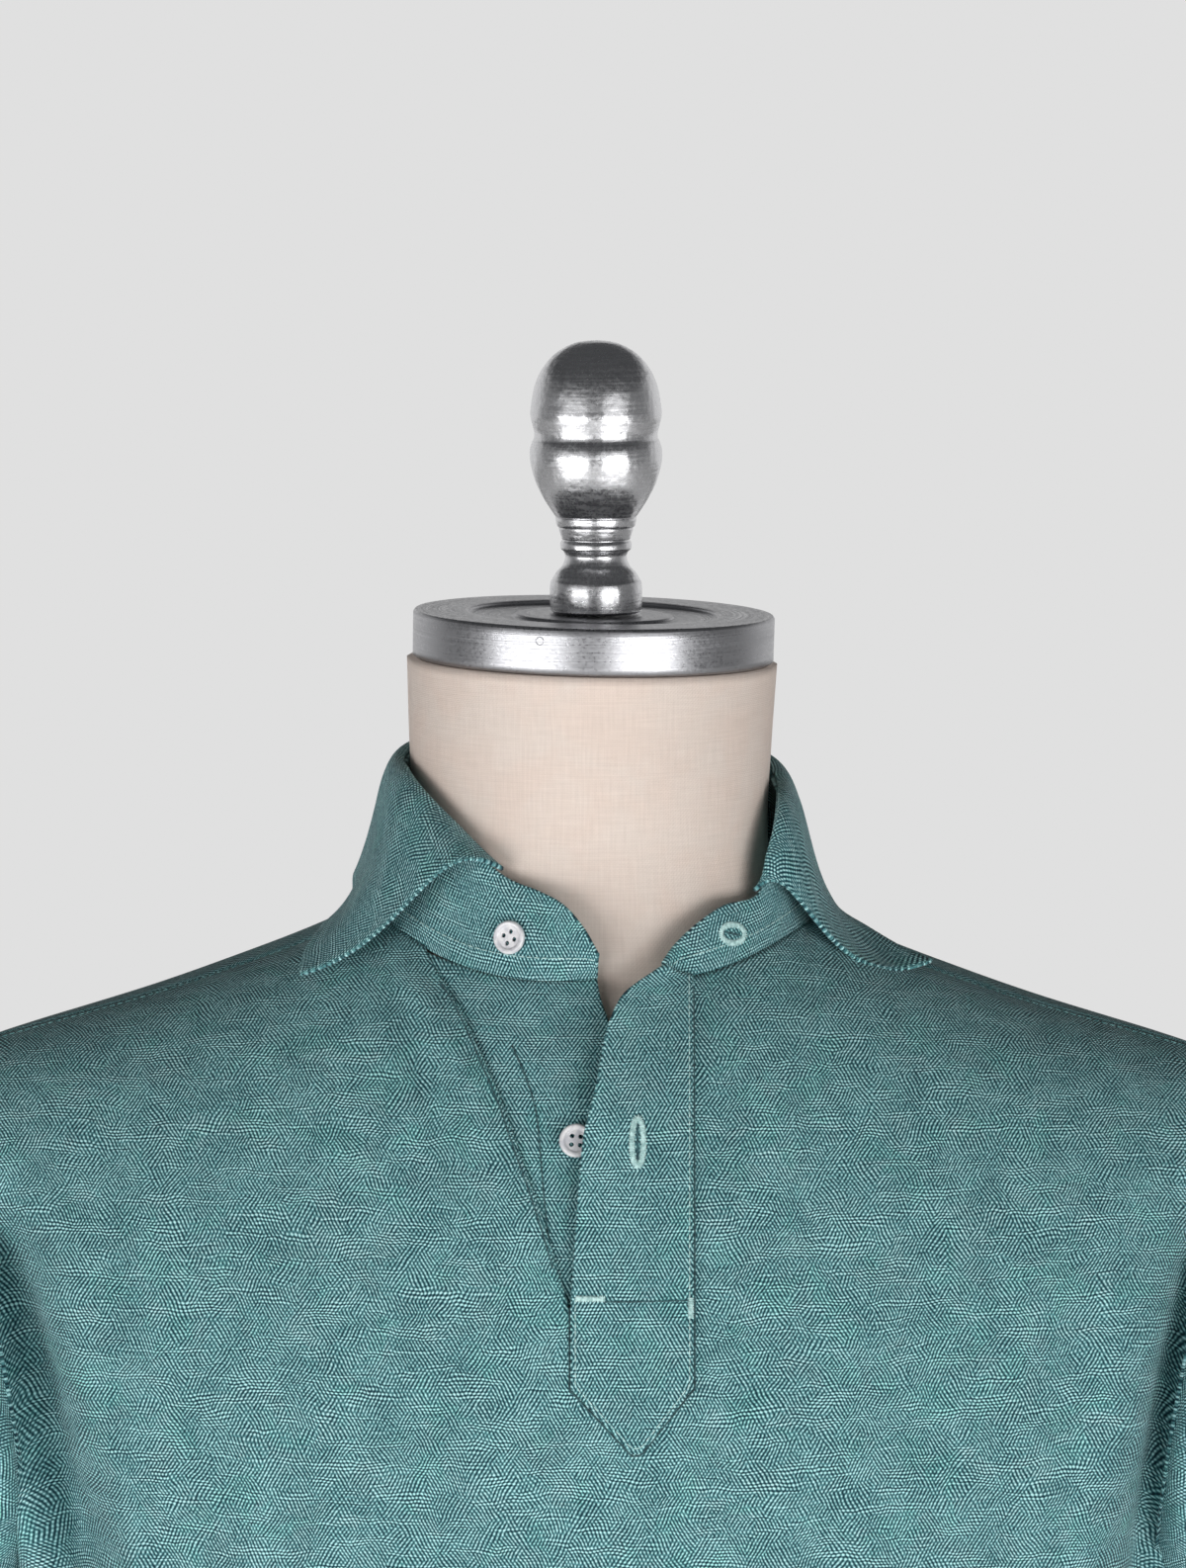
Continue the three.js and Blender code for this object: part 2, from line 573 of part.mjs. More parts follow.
// Buttonhole band: lies on the front from its stitched edge, with its free edge lifted at the opening.
const BAND_OFFSET = SEAM_GAP + 0.1 + BODY_CLOTH;
const BAND_POINT_SHARE = 0.16; // share of the rows that make the band's point
function bandPoint(s, t) {
  const tipHalf = 1.5;
  const free = (z) => readTable(OPENING, "z", z).edge_x;
  let [left, right, z] = [0, BAND_SEAM_X, 0];
  if (s < BAND_POINT_SHARE) {
    const share = s / BAND_POINT_SHARE;
    left = mix(BAND_TIP.x - tipHalf, free(SLIT_FOOT_Z), share);
    right = mix(BAND_TIP.x + tipHalf, BAND_SEAM_X, share);
    z = mix(BAND_TIP.z, BAND_SIDE_Z, share);
  } else {
    const topZ = necklineZ(mix(BAND_SEAM_X, free(776), t)) - 0.3;
    z = mix(BAND_SIDE_Z, topZ, (s - BAND_POINT_SHARE) / (1 - BAND_POINT_SHARE));
    left = free(Math.max(z, SLIT_FOOT_Z));
  }
  const lift = readTable(BAND_LIFT, "z", z).lift * t ** 1.6;
  return frontAt(mix(right, left, t), z, BAND_OFFSET + lift);
}

function buttonholeBandGeometry() {
  const outer = steps(16).map((s) => steps(5).map((t) => bandPoint(s, 1 - t)));
  return withButtonhole(wallGeometry(outer, insetGrid(outer, BODY_CLOTH)), BAND_BUTTONHOLE);
}

// Neckline of the body by its angle round the neck, 0 at the front and + to the right.
function necklinePoint(angle) {
  const side = Math.cos(radians(angle)) >= 0 ? FRONT : BACK;
  const x = NECKLINE_X * Math.sin(radians(angle));
  return smoothBody(side, angleForX(clamp(x, -NECKLINE_X, NECKLINE_X)), 1);
}

function standRow(station) {
  const low = Math.min(STAND.length - 2, Math.floor(station));
  const indexed = STAND.map((row, i) => ({ ...row, station: i }));
  return readTable(indexed.slice(Math.max(0, low - 2), low + 4), "station", station);
}

// Stand surface: s along its stations, t from the seam at 0 to the top edge at 1.
function standPoint(station, t) {
  const row = standRow(station);
  const top = new THREE.Vector3(row.x, row.y, row.z);
  const seam = necklinePoint(row.seam_angle);
  const inward = new THREE.Vector3(seam.x, seam.y, 0).setLength(-SEAM_GAP);
  const foot = seam.add(inward);
  foot.z += 0.9;
  return foot.lerp(top, t);
}

const STAND_SUBDIVISION = 2;
const STAND_STATIONS = steps((STAND.length - 1) * STAND_SUBDIVISION).map((s) => s * (STAND.length - 1));

function standGeometry() {
  const outer = steps(3).map((t) => [...STAND_STATIONS].map((station) => standPoint(station, t)));
  const flipped = outer.map((row) => [...row].reverse());
  return withButtonhole(wallGeometry(flipped, insetGrid(flipped, COLLAR_CLOTH)), STAND_BUTTONHOLE);
}

// Leaf surface: from the fold over the stand's top edge at w 0 to the outer edge at w 1.
const FOLD_CLEARANCE = COLLAR_CLOTH + SEAM_GAP + 0.6;
function leafPoint(station, w) {
  const row = readTable(LEAF, "station", station);
  const top = standPoint(station, 1);
  const edge = new THREE.Vector3(row.x, row.y, row.z);
  const outward = new THREE.Vector3(edge.x - top.x, edge.y - top.y, 0).normalize();
  const away = new THREE.Vector3(top.x, top.y, 0).normalize();
  const rollReach = outward.clone().lerp(away, 0.5).multiplyScalar(row.out);
  rollReach.z = row.up;
  const along = standPoint(station - 0.2, 1).sub(standPoint(station + 0.2, 1));
  const above = rollReach.clone().cross(along).normalize();
  if (above.z < 0) above.negate();
  const fold = top.clone().addScaledVector(above, FOLD_CLEARANCE);
  const roll = fold.clone().add(rollReach);
  const drop = edge.clone().addScaledVector(outward, -row.in);
  drop.z += row.rise;
  return bezier([fold, roll, drop, edge], w);
}

function leafGeometry() {
  const [first, last] = [LEAF[0].station, LEAF[LEAF.length - 1].station];
  const stations = steps((last - first) * 2).map((s) => mix(first, last, s));
  const outer = steps(7).map((w) => [...stations].reverse().map((station) => leafPoint(station, 1 - w)));
  return wallGeometry(outer, insetGrid(outer, COLLAR_CLOTH));
}

// Sleeve: u runs once round it from the underarm over the front to the shoulder and down the back.
function armholePoint(u, turn) {
  const side = u < 0.5 ? FRONT : BACK;
  const v = u < 0.5 ? u * 2 : 2 - u * 2;
  const p = smoothBody(side, turn * 90, v);
  p.y += (side.facing * SEAM_GAP) / 2;
  return p;
}

function sleevePoint(u, w, turn) {
  const start = armholePoint(u, turn);
  start.x += turn * SLEEVE_GAP;
  const angle = 180 - 360 * u;
  const row = readTable(SLEEVE_HANDLES, "angle", Math.abs(angle), true);
  const facing = u < 0.5 ? -1 : 1;
  const axis = SLEEVE_AXIS.clone();
  axis.x *= turn;
  const across = new THREE.Vector3(-axis.z * turn, 0, axis.x * turn);
  const cuff = new THREE.Vector3(turn * CUFF_CENTRE.x, CUFF_CENTRE.y, CUFF_CENTRE.z)
    .addScaledVector(across, CUFF_HALF_THICK * Math.cos(radians(angle)))
    .add(new THREE.Vector3(0, -CUFF_HALF_FLAT * Math.sin(radians(angle)), 0));
  const first = start.clone().add(new THREE.Vector3(turn * row.out, facing * row.forward, -row.down));
  const second = cuff.clone().addScaledVector(axis, -row.back_off);
  return bezier([start, first, second, cuff], w);
}

function sleeveGeometry(turn) {
  const around = steps(2 * UPPER_ROWS).slice(0, -1);
  const outer = steps(7).map((w) => around.map((u) => sleevePoint(u, 1 - w, turn)));
  const facing = turn > 0 ? outer : outer.map((row) => [...row].reverse());
  return wallGeometry(facing, insetGrid(facing, BODY_CLOTH, true), true);
}

// Buttons
function buttonGeometry() {
  const profile = [
    [0, 0],
    [BUTTON_RADIUS - 0.8, 0],
    [BUTTON_RADIUS, 0.7],
    [BUTTON_RADIUS, 1.5],
    [BUTTON_RADIUS - 0.8, BUTTON_THICK],
    [BUTTON_RADIUS - 1.7, BUTTON_THICK],
    [BUTTON_RADIUS - 2.4, BUTTON_THICK - 0.6],
    [0, BUTTON_THICK - 0.6],
  ].map(([r, z]) => new THREE.Vector2(r, z));
  const disc = new THREE.LatheGeometry(profile, 20).rotateX(Math.PI / 2);
  let solid = solidOf(disc);
  for (const [sx, sy] of [[1, 1], [1, -1], [-1, 1], [-1, -1]]) {
    const hole = new THREE.CylinderGeometry(BUTTON_HOLE_RADIUS, BUTTON_HOLE_RADIUS, 8, 6).rotateX(Math.PI / 2);
    hole.translate(sx * BUTTON_HOLE_OFFSET, sy * BUTTON_HOLE_OFFSET, 0);
    solid = solid.subtract(solidOf(hole));
  }
  return geometryOf(solid);
}

// A button's place: resting on a point of cloth and facing along its normal.
function placeButton(mesh, point, normal) {
  const gap = 0.45;
  mesh.quaternion.setFromUnitVectors(new THREE.Vector3(0, 0, 1), normal);
  mesh.position.copy(point).addScaledVector(normal, gap);
  return mesh;
}

// Form: body, neck and its armhole plates in one smooth solid
function formEase(angle, v, z) {
  const sideShare = Math.sin(radians(Math.abs(angle))) ** 4;
  const row = readTable(TORSO, "z", Math.min(z, UNDERARM_Z));
  const low = mix(row.ease_front, row.ease_side, sideShare);
  return v <= 0 ? low : mix(low, FORM_INSET_TOP, smooth(clamp(v / 0.8, 0, 1)));
}

function formPoint(side, angle, v) {
  const surface = (a, b) => smoothBody(side, a, b, 0);
  const p = surface(angle, v);
  const ease = formEase(angle, v, p.z);
  const onSeam = v === 1 && Math.abs(p.x) >= NECKLINE_X - 0.01;
  if (v > 0) p.x *= 1 - (FORM_EDGE_INSET / SHOULDER_TIP_X) * Math.min(1, v * 4) * (p.x / SHOULDER_TIP_X) ** 2;
  if (onSeam) return p.add(new THREE.Vector3(0, 0, -FORM_INSET_SEAM));
  const n = normalAt(surface, angle, v).multiplyScalar(-side.facing);
  if (v <= 0) n.z = 0;
  return p.addScaledVector(n.normalize(), -ease);
}

function formGeometry() {
  const levels = [...steps(5).map((s) => s - 1), ...steps(UPPER_ROWS).slice(1)];
  const angles = PANEL_ANGLES.filter((a) => Math.abs(a) < 75 || Math.abs(a) === 90);
  const backAngles = [...angles].reverse();
  const rings = levels.map((v) => [
    ...angles.map((a) => formPoint(FRONT, a, v)),
    ...backAngles.map((a) => formPoint(BACK, a, v)),
  ]);
  const inNeck = (a) => Math.abs(a) <= angleForX(NECKLINE_X) + 0.01;
  const top = rings[rings.length - 1];
  const loop = [...angles, ...backAngles].map((a, i) => (inNeck(a) ? i : -1)).filter((i) => i >= 0);
  const points = rings.flat();
  const faces = [];
  const count = top.length;
  const quad = (a, b, c, d) => faces.push(...splitQuad(points, a, b, c, d));
  for (let i = 0; i < rings.length - 1; i += 1) {
    for (let j = 0; j < count; j += 1) {
      const next = (j + 1) % count;
      quad(i * count + j, i * count + next, (i + 1) * count + next, (i + 1) * count + j);
    }
  }
  // Neck rings grow from the loop of the neckline.
  let below = loop.map((i) => (rings.length - 1) * count + i);
  const start = loop.map((i) => top[i]);
  for (const row of FORM_NECK) {
    const ring = start.map((p) => {
      const dy = p.y - SHOULDER_SEAM_Y;
      const depth = dy < 0 ? NECKLINE_FRONT + 2 : NECKLINE_BACK;
      const angle = Math.atan2(p.x / NECKLINE_X, -dy / depth);
      const reach = dy < 0 ? row.front : row.back;
      const centre = mix(SHOULDER_SEAM_Y, 0, smooth(row.rise));
      const x = row.shift_x + row.half_width * Math.sin(angle);
      const z = mix(p.z, NECK_TOP_Z - CAP_TILT * x, row.rise);
      return new THREE.Vector3(x, centre - reach * Math.cos(angle), z);
    });
    const first = points.length;
    points.push(...ring);
    const above = ring.map((_, k) => first + k);
    below.forEach((_, k) => {
      const next = (k + 1) % below.length;
      quad(below[k], below[next], above[next], above[k]);
    });
    below = above;
  }
  const closeWith = (ids, centre, up) => {
    points.push(centre);
    const hub = points.length - 1;
    ids.forEach((id, k) => {
      const next = ids[(k + 1) % ids.length];
      if (up) faces.push(id, next, hub);
      else faces.push(next, id, hub);
    });
  };
  closeWith(below, new THREE.Vector3(0, 0, NECK_TOP_Z), true);
  closeWith(rings[0].map((_, k) => k), new THREE.Vector3(0, 0, 0), false);
  return facedGeometry(points, faces);
}

function turnedGeometry(profile, segments) {
  const outline = profile.map((row) => new THREE.Vector2(row.r, row.z));
  return new THREE.LatheGeometry(outline, segments).rotateX(Math.PI / 2);
}

// Materials
const material = (color, roughness, metalness = 0) =>
  new THREE.MeshStandardMaterial({ color: new THREE.Color(color), roughness, metalness });
const knit = material("#5f9494", 0.85);
const pearl = material("#e6e3e6", 0.35);
const canvas = material("#dccbc2", 0.8);
const metal = material("#b9bbbf", 0.3, 1);

const part = new THREE.Group();
function addPiece(name, geometry, finish) {
  const mesh = new THREE.Mesh(geometry, finish);
  mesh.name = name;
  part.add(mesh);
  return mesh;
}

addPiece("form_body", formGeometry(), canvas);
const cap = addPiece("neck_cap", turnedGeometry(CAP_PROFILE, 48), metal);
cap.position.z = NECK_TOP_Z;
cap.rotation.y = Math.atan(CAP_TILT);
addPiece("finial", turnedGeometry(FINIAL_PROFILE, 24), metal).position.set(1, 0, NECK_TOP_Z + FINIAL_FOOT);

addPiece("front", frontGeometry(), knit);
addPiece("back", panelGeometry(BACK), knit);
addPiece("sleeve_left", sleeveGeometry(1), knit);
addPiece("sleeve_right", sleeveGeometry(-1), knit);
addPiece("collar_stand", standGeometry(), knit);
addPiece("collar_leaf", leafGeometry(), knit);
addPiece("button_band", buttonBandGeometry(), knit);
addPiece("buttonhole_band", buttonholeBandGeometry(), knit);

const STAND_BUTTON = { station: 3.75, height: 0.42 };
const buttonOnStand = standPoint(STAND_BUTTON.station, STAND_BUTTON.height);
const standAlong = standPoint(STAND_BUTTON.station - 0.3, STAND_BUTTON.height).sub(
  standPoint(STAND_BUTTON.station + 0.3, STAND_BUTTON.height),
);
const standUp = standPoint(STAND_BUTTON.station, 1).sub(standPoint(STAND_BUTTON.station, 0));
placeButton(addPiece("button_collar", buttonGeometry(), pearl), buttonOnStand, standAlong.cross(standUp).normalize());

const bandButtonFoot = frontAt(BAND_BUTTON.x, BAND_BUTTON.z, 0);
const bandButtonNormal = frontAt(BAND_BUTTON.x, BAND_BUTTON.z, 1).sub(bandButtonFoot).normalize();
placeButton(addPiece("button_front", buttonGeometry(), pearl), bandButtonFoot, bandButtonNormal);

export default part;
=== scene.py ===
# A knitted polo shirt on a limbless tailor's form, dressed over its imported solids.
# The main tables and surfaces are those of the solids, in millimetres. Meshes are made from them in metres.
import math
from functools import partial

import bmesh
import bpy
import numpy as np
from mathutils import Matrix, Vector


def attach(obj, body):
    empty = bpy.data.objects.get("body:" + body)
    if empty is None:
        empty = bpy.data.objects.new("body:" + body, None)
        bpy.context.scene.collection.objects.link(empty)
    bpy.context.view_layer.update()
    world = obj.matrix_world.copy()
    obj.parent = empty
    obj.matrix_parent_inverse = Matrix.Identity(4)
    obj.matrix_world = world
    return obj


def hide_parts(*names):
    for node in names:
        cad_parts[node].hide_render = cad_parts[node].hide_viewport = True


MM = 0.001

# Camera at the height and angle of the photograph
CAMERA_PLACE = (0.0, -2.5, 1.1246)
CAMERA_PITCH = 6.75
CAMERA_LENS = 170.92

scene = bpy.context.scene
camera = bpy.data.objects.new("camera", bpy.data.cameras.new("camera"))
scene.collection.objects.link(camera)
camera.data.lens = CAMERA_LENS
camera.data.sensor_width = 36.0
camera.data.clip_end = 50.0
camera.location = CAMERA_PLACE
camera.rotation_euler = (math.radians(90 - CAMERA_PITCH), 0, 0)
scene.camera = camera

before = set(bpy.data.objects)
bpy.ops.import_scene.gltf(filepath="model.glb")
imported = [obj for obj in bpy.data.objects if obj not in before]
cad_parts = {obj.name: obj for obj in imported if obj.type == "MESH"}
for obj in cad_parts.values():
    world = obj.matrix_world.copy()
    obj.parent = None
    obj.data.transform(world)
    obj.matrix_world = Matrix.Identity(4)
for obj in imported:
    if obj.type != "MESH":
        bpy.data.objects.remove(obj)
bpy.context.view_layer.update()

# Sizes of the cloth, shared with the solids
BODY_CLOTH = 1.4
COLLAR_CLOTH = 1.6
SEAM_GAP = 0.4
HEM_Z = 78
UNDERARM_Z = 535
SHOULDER_TIP_Z = 733
NECK_TOP_Z = 871
SHOULDER_TIP_X = 228
SHOULDER_SLOPE = 0.335
RIDGE_DROP = 1
TIP_LIFT = 4.2
LIFT_FROM_X = 130
NECK_LIFT, NECK_LIFT_X, NECK_LIFT_WIDTH = 5, 60, 26
SHOULDER_SEAM_Y = -8
SAME_PLACE = 0.01
SHOULDER_DROP = 3
DROP_FULL_X = 100
NECKLINE_X = 74
NECKLINE_FRONT = 65
NECKLINE_BACK = 76
RING_ROUNDNESS = 2.3


def table(names, *rows):
    """A table with named columns, as one array a column."""
    return {name: np.array([row[i] for row in rows], float) for i, name in enumerate(names.split())}


TORSO = table(
    "z half_width front back ease_side ease_front",
    (0, 207, 127, 116, 32, 12),
    (78, 208, 128, 118, 32, 12),
    (200, 207, 128, 116, 34, 14),
    (330, 201, 122, 108, 42, 16),
    (440, 198, 124, 113, 30, 12),
    (535, 197, 126, 118, 14, 9),
)
FRONT_COLUMNS = table(
    "angle y1 z1 lean1 y2 z2 lean2",
    (0, -128, 618, 0, -112, 806, 0),
    (18.9, -121, 620, 0, -90, 794, 0),
    (40.5, -109, 619, 4, -79, 754, 0),
    (63, -92, 600, -3, -80, 731, -6),
    (79.2, -82, 565, -10, -85, 706, -17),
    (90, -78, 550, -21, -88, 690, -32),
)
BACK_COLUMNS = table(
    "angle y1 z1 lean1 y2 z2 lean2",
    (0, 128, 640, 0, 118, 838, 0),
    (18.9, 120, 636, 0, 96, 806, 0),
    (40.5, 106, 627, 3, 86, 770, 0),
    (63, 88, 605, -4, 85, 744, -7),
    (79.2, 78, 567, -12, 87, 716, -19),
    (90, 74, 550, -23, 90, 700, -34),
)
FOLD_COLUMNS = "angle_top z_top angle_low z_low width depth"
FRONT_FOLDS = table(
    FOLD_COLUMNS,
    (-64, 690, -55, 60, 5.5, -5),
    (-48, 580, -44, 60, 5, 3.5),
    (70, 680, 64, 60, 5.5, -5),
    (53, 570, 49, 60, 5, 3.5),
    (-20, 420, -24, 60, 6, 4),
    (23, 380, 21, 60, 6, 4),
)
BACK_FOLDS = table(
    FOLD_COLUMNS,
    (-66, 660, -62, 60, 5.5, -5),
    (-40, 560, -42, 60, 6, 4),
    (67, 660, 63, 60, 5.5, -5),
    (42, 540, 39, 60, 6, 4),
    (2, 470, -3, 60, 6, 5),
)
FOLD_FADE_Z = 45

OPENING = table(
    "z seam_x edge_x",
    (800, -66, 34),
    (776, -54, 27.5),
    (763, -44.5, 8.4),
    (735, -30.5, 0.5),
    (723, -26, -2.6),
    (700, -17.5, -4.8),
    (671, -8.5, -7),
)
SLIT_FOOT_Z = 671
BAND_SEAM_X = 32.5
BAND_SIDE_Z = 645
BAND_TIP_X, BAND_TIP_Z = 14, 624
BAND_LIFT = table("z lift", (600, 0), (672, 0.2), (723, 5), (745, 7), (765, 8), (790, 4))
BUTTON_BAND_EDGE_X = 15
BAND_OFFSET = SEAM_GAP + 0.1 + BODY_CLOTH
BAND_POINT_SHARE = 0.16

STAND = table(
    "seam_angle x y z",
    (1, 1.3, -77, 781),
    (-3, -3, -76, 789),
    (-8, -10, -72.5, 797),
    (-14, -18, -68, 801),
    (-24, -31, -60, 806),
    (-38, -47, -48, 820),
    (-52, -57, -37, 829),
    (-68, -62.6, -22, 834.5),
    (-90, -64.6, 1, 836),
    (-118, -58.5, 33, 838),
    (-150, -35.5, 61, 841),
    (-180, 0, 71, 842),
    (-210, 35, 61, 839),
    (-242, 57.5, 33, 833),
    (-270, 62.8, 3, 828),
    (-286, 63, -17, 825.5),
    (-297, 62, -30, 820),
    (-305, 59, -39, 809),
    (-312, 55, -45, 797),
    (-321, 44, -57, 795),
    (-329, 35, -65, 790),
    (-336, 28, -71, 784),
    (-341.5, 23.8, -75, 778),
)
STAND["station"] = np.arange(len(STAND["x"]), dtype=float)
LEAF = table(
    "station x y z out up in rise",
    (4, -97, -57, 772.6, 33, 17, 37, 10),
    (5, -96, -46, 778.5, 19, 8, 28, 13),
    (6, -91.5, -34, 784.5, 12, 4, 24, 15),
    (7, -86, -20, 788.5, 8, 3, 16, 17),
    (8, -82, 1, 791.5, 7, 3, 9, 18),
    (9, -79, 40, 797, 7, 3, 9, 19),
    (10, -49, 82, 802, 7, 3, 8, 18),
    (11, 0, 97, 804, 7, 3, 8, 18),
    (12, 49, 82, 801, 7, 3, 8, 18),
    (13, 74, 42, 795, 7, 3, 8, 18),
    (14, 79.5, 13, 791.5, 7, 3, 9, 17),
    (15, 84, 1, 786, 8, 3, 16, 10),
    (16, 93, -8, 781.3, 10, 3, 24, 2),
    (17, 104, -18, 775.8, 14, 11, 31, -9),
    (18, 113.5, -26, 772.6, 19, 17, 38, -14),
)
FOLD_CLEARANCE = COLLAR_CLOTH + SEAM_GAP + 0.6

CUFF_CENTRE = (257, 4, 483)
CUFF_HALF_FLAT = 72
CUFF_HALF_THICK = 38
SLEEVE_AXIS = (0.45, 0, -0.893)
SLEEVE_HANDLES = table(
    "angle out forward down back_off",
    (0, 27, 0, 6, 110),
    (45, 25, 5, 8, 95),
    (90, 19, 8, 10, 70),
    (135, 13, 5, 10, 45),
    (180, 10, 0, 9, 30),
)
SLEEVE_GAP = 0.6

# Sizes of the form and its turned metal
FORM_NECK = table(
    "rise half_width shift_x front back",
    (0.07, 68, 0, 61, 70),
    (0.2, 61.5, -0.5, 56.5, 66),
    (0.4, 60, -1, 55, 63),
    (0.7, 61.2, -0.9, 58.5, 62),
    (1, 62.5, -0.3, 61.5, 62.5),
)
FORM_INSET_TOP = 4.4
FORM_INSET_SEAM = 4.4
FORM_EDGE_INSET = 7
FORM_SIDE_ROOM = 20
FORM_SMOOTH_Z = 420
CAP_TILT = 0.022
FINIAL_FOOT = 16.05

# Buttons
BUTTON_RADIUS = 5.6
BUTTON_THICK = 2.2
BUTTON_GAP = 0.45
BAND_BUTTON_X, BAND_BUTTON_Z = -5.4, 723
STAND_BUTTON_STATION, STAND_BUTTON_HEIGHT = 3.75, 0.42


def mix(a, b, t):
    return a + (b - a) * t


def smooth(t):
    t = np.clip(t, 0, 1)
    return t * t * (3 - 2 * t)


def stack(x, y, z):
    return np.stack(np.broadcast_arrays(x, y, z), axis=-1).astype(float)


def unit(v):
    return v / np.maximum(np.linalg.norm(v, axis=-1, keepdims=True), 1e-12)


def read_table(rows, key, value, even=False):
    """All columns of a table at values of its key, by cubic interpolation. An even table starts level."""
    order = slice(None, None, -1) if rows[key][0] > rows[key][-1] else slice(None)
    keys = rows[key][order]
    at = np.clip(np.asarray(value, float), keys[0], keys[-1])
    low = np.clip(np.searchsorted(keys, at) - 1, 0, len(keys) - 2)
    span = keys[low + 1] - keys[low]
    t = (at - keys[low]) / span
    out = {}
    for name, values in rows.items():
        column = values[order]
        slope = np.empty(len(keys))
        slope[1:-1] = (column[2:] - column[:-2]) / (keys[2:] - keys[:-2])
        slope[0] = 0 if even else (column[1] - column[0]) / (keys[1] - keys[0])
        slope[-1] = (column[-1] - column[-2]) / (keys[-1] - keys[-2])
        out[name] = (
            (2 * t**3 - 3 * t**2 + 1) * column[low]
            + (t**3 - 2 * t**2 + t) * slope[low] * span
            + (3 * t**2 - 2 * t**3) * column[low + 1]
            + (t**3 - t**2) * slope[low + 1] * span
        )
    return out


def bezier(handles, t):
    """Points of cubic curves whose four handles are on the last axis but one."""
    t = np.asarray(t, float)[..., None]
    s = 1 - t
    return (
        handles[..., 0, :] * s**3
        + handles[..., 1, :] * 3 * s * s * t
        + handles[..., 2, :] * 3 * s * t * t
        + handles[..., 3, :] * t**3
    )


def halved(low, high, beyond, rounds):
    """Where beyond(value) starts to hold between low and high, found by halving the span."""
    for _ in range(rounds):
        middle = (low + high) / 2
        past = beyond(middle)
        high = np.where(past, middle, high)
        low = np.where(past, low, middle)
    return high


def seam_x(z):
    """The button band's seam at a height."""
    return read_table(OPENING, "z", z)["seam_x"]


def free_edge_x(z):
    """The buttonhole band's free edge at a height, straight below the slit's foot."""
    return read_table(OPENING, "z", np.maximum(z, SLIT_FOOT_Z))["edge_x"]


# Body surface of the shirt
FRONT = {
    "columns": FRONT_COLUMNS,
    "folds": FRONT_FOLDS,
    "depth": "front",
    "facing": -1,
    "neck": NECKLINE_FRONT,
}
BACK = {
    "columns": BACK_COLUMNS,
    "folds": BACK_FOLDS,
    "depth": "back",
    "facing": 1,
    "neck": NECKLINE_BACK,
}


def ridge_z(x):
    """Height of the shoulder seam, which lifts a little at its tip and close to the neck."""
    reach = np.abs(x)
    neck_lift = NECK_LIFT * np.exp(-(((reach - NECK_LIFT_X) / NECK_LIFT_WIDTH) ** 2))
    tip_lift = TIP_LIFT * smooth((reach - LIFT_FROM_X) / (SHOULDER_TIP_X - LIFT_FROM_X))
    return SHOULDER_TIP_Z - RIDGE_DROP + SHOULDER_SLOPE * (SHOULDER_TIP_X - reach) + neck_lift + tip_lift


def ring_point(side, angle, z):
    """The body's section at a height, as a squarish oval."""
    section = read_table(TORSO, "z", z)
    power = 2 / RING_ROUNDNESS
    sine = np.sin(np.radians(np.abs(angle)))
    cosine = np.maximum(0, np.cos(np.radians(angle)))
    x = np.sign(angle) * section["half_width"] * sine**power
    return stack(x, side["facing"] * section[side["depth"]] * cosine**power, z)


def column_handles(side, angle):
    """Four handles of the curve from the underarm to the shoulder seam, at an angle from the middle."""
    base = ring_point(side, angle, UNDERARM_Z + 0 * angle)
    turn = np.sign(angle)
    reach = np.abs(base[..., 0])
    widest = ring_point(side, 90.0, UNDERARM_Z)[..., 0]
    spread = (SHOULDER_TIP_X - NECKLINE_X) / (widest - NECKLINE_X)
    top_x = np.where(reach <= NECKLINE_X, reach, NECKLINE_X + (reach - NECKLINE_X) * spread)
    row = read_table(side["columns"], "angle", np.abs(angle), even=True)
    drop = np.where(turn > 0, SHOULDER_DROP * smooth(top_x / DROP_FULL_X), 0)
    first = stack(base[..., 0] + turn * row["lean1"], row["y1"], row["z1"])
    second = stack(turn * (top_x + row["lean2"]), row["y2"], row["z2"] - drop)
    last = stack(turn * top_x, SHOULDER_SEAM_Y, ridge_z(top_x) - drop)
    return np.stack([base, first, second, last], axis=-2)


# No column ends below this share of its curve.
COLUMN_END_FROM = 0.3


def column_end(side, handles):
    """Share of a column where it meets the neckline or the shoulder seam."""
    ratio = np.minimum(1, np.abs(handles[..., 3, 0]) / NECKLINE_X)
    target = SHOULDER_SEAM_Y + side["facing"] * side["neck"] * np.sqrt(1 - ratio * ratio)

    def reached(share):
        return side["facing"] * (bezier(handles, share)[..., 1] - target) <= 0

    return halved(np.full(ratio.shape, COLUMN_END_FROM), np.ones(ratio.shape), reached, 30)


def smooth_body(side, angle, v, low_z=HEM_Z):
    """v runs from -1 at the hem, through 0 at the underarm, to 1 at the neckline and shoulder seam."""
    angle, v = np.broadcast_arrays(np.asarray(angle, float), np.asarray(v, float))
    low = ring_point(side, angle, mix(UNDERARM_Z, low_z, np.maximum(-v, 0)))
    handles = column_handles(side, angle)
    cut_off = 1 - column_end(side, handles)
    share = np.clip(v, 0, 1)
    high = bezier(handles, share * (1 - cut_off * share))
    return np.where((v <= 0)[..., None], low, high)


def normal_at(side, angle, v, low_z=HEM_Z):
    """Outward normal of the smooth body, from points du degrees and dv of a column to each side."""
    du, dv = 0.4, 0.004
    across = smooth_body(side, np.clip(angle + du, -90, 90), v, low_z)
    across = across - smooth_body(side, np.clip(angle - du, -90, 90), v, low_z)
    up = smooth_body(side, angle, np.clip(v + dv, -1, 1), low_z)
    up = up - smooth_body(side, angle, np.clip(v - dv, -1, 1), low_z)
    return -side["facing"] * unit(np.cross(across, up))


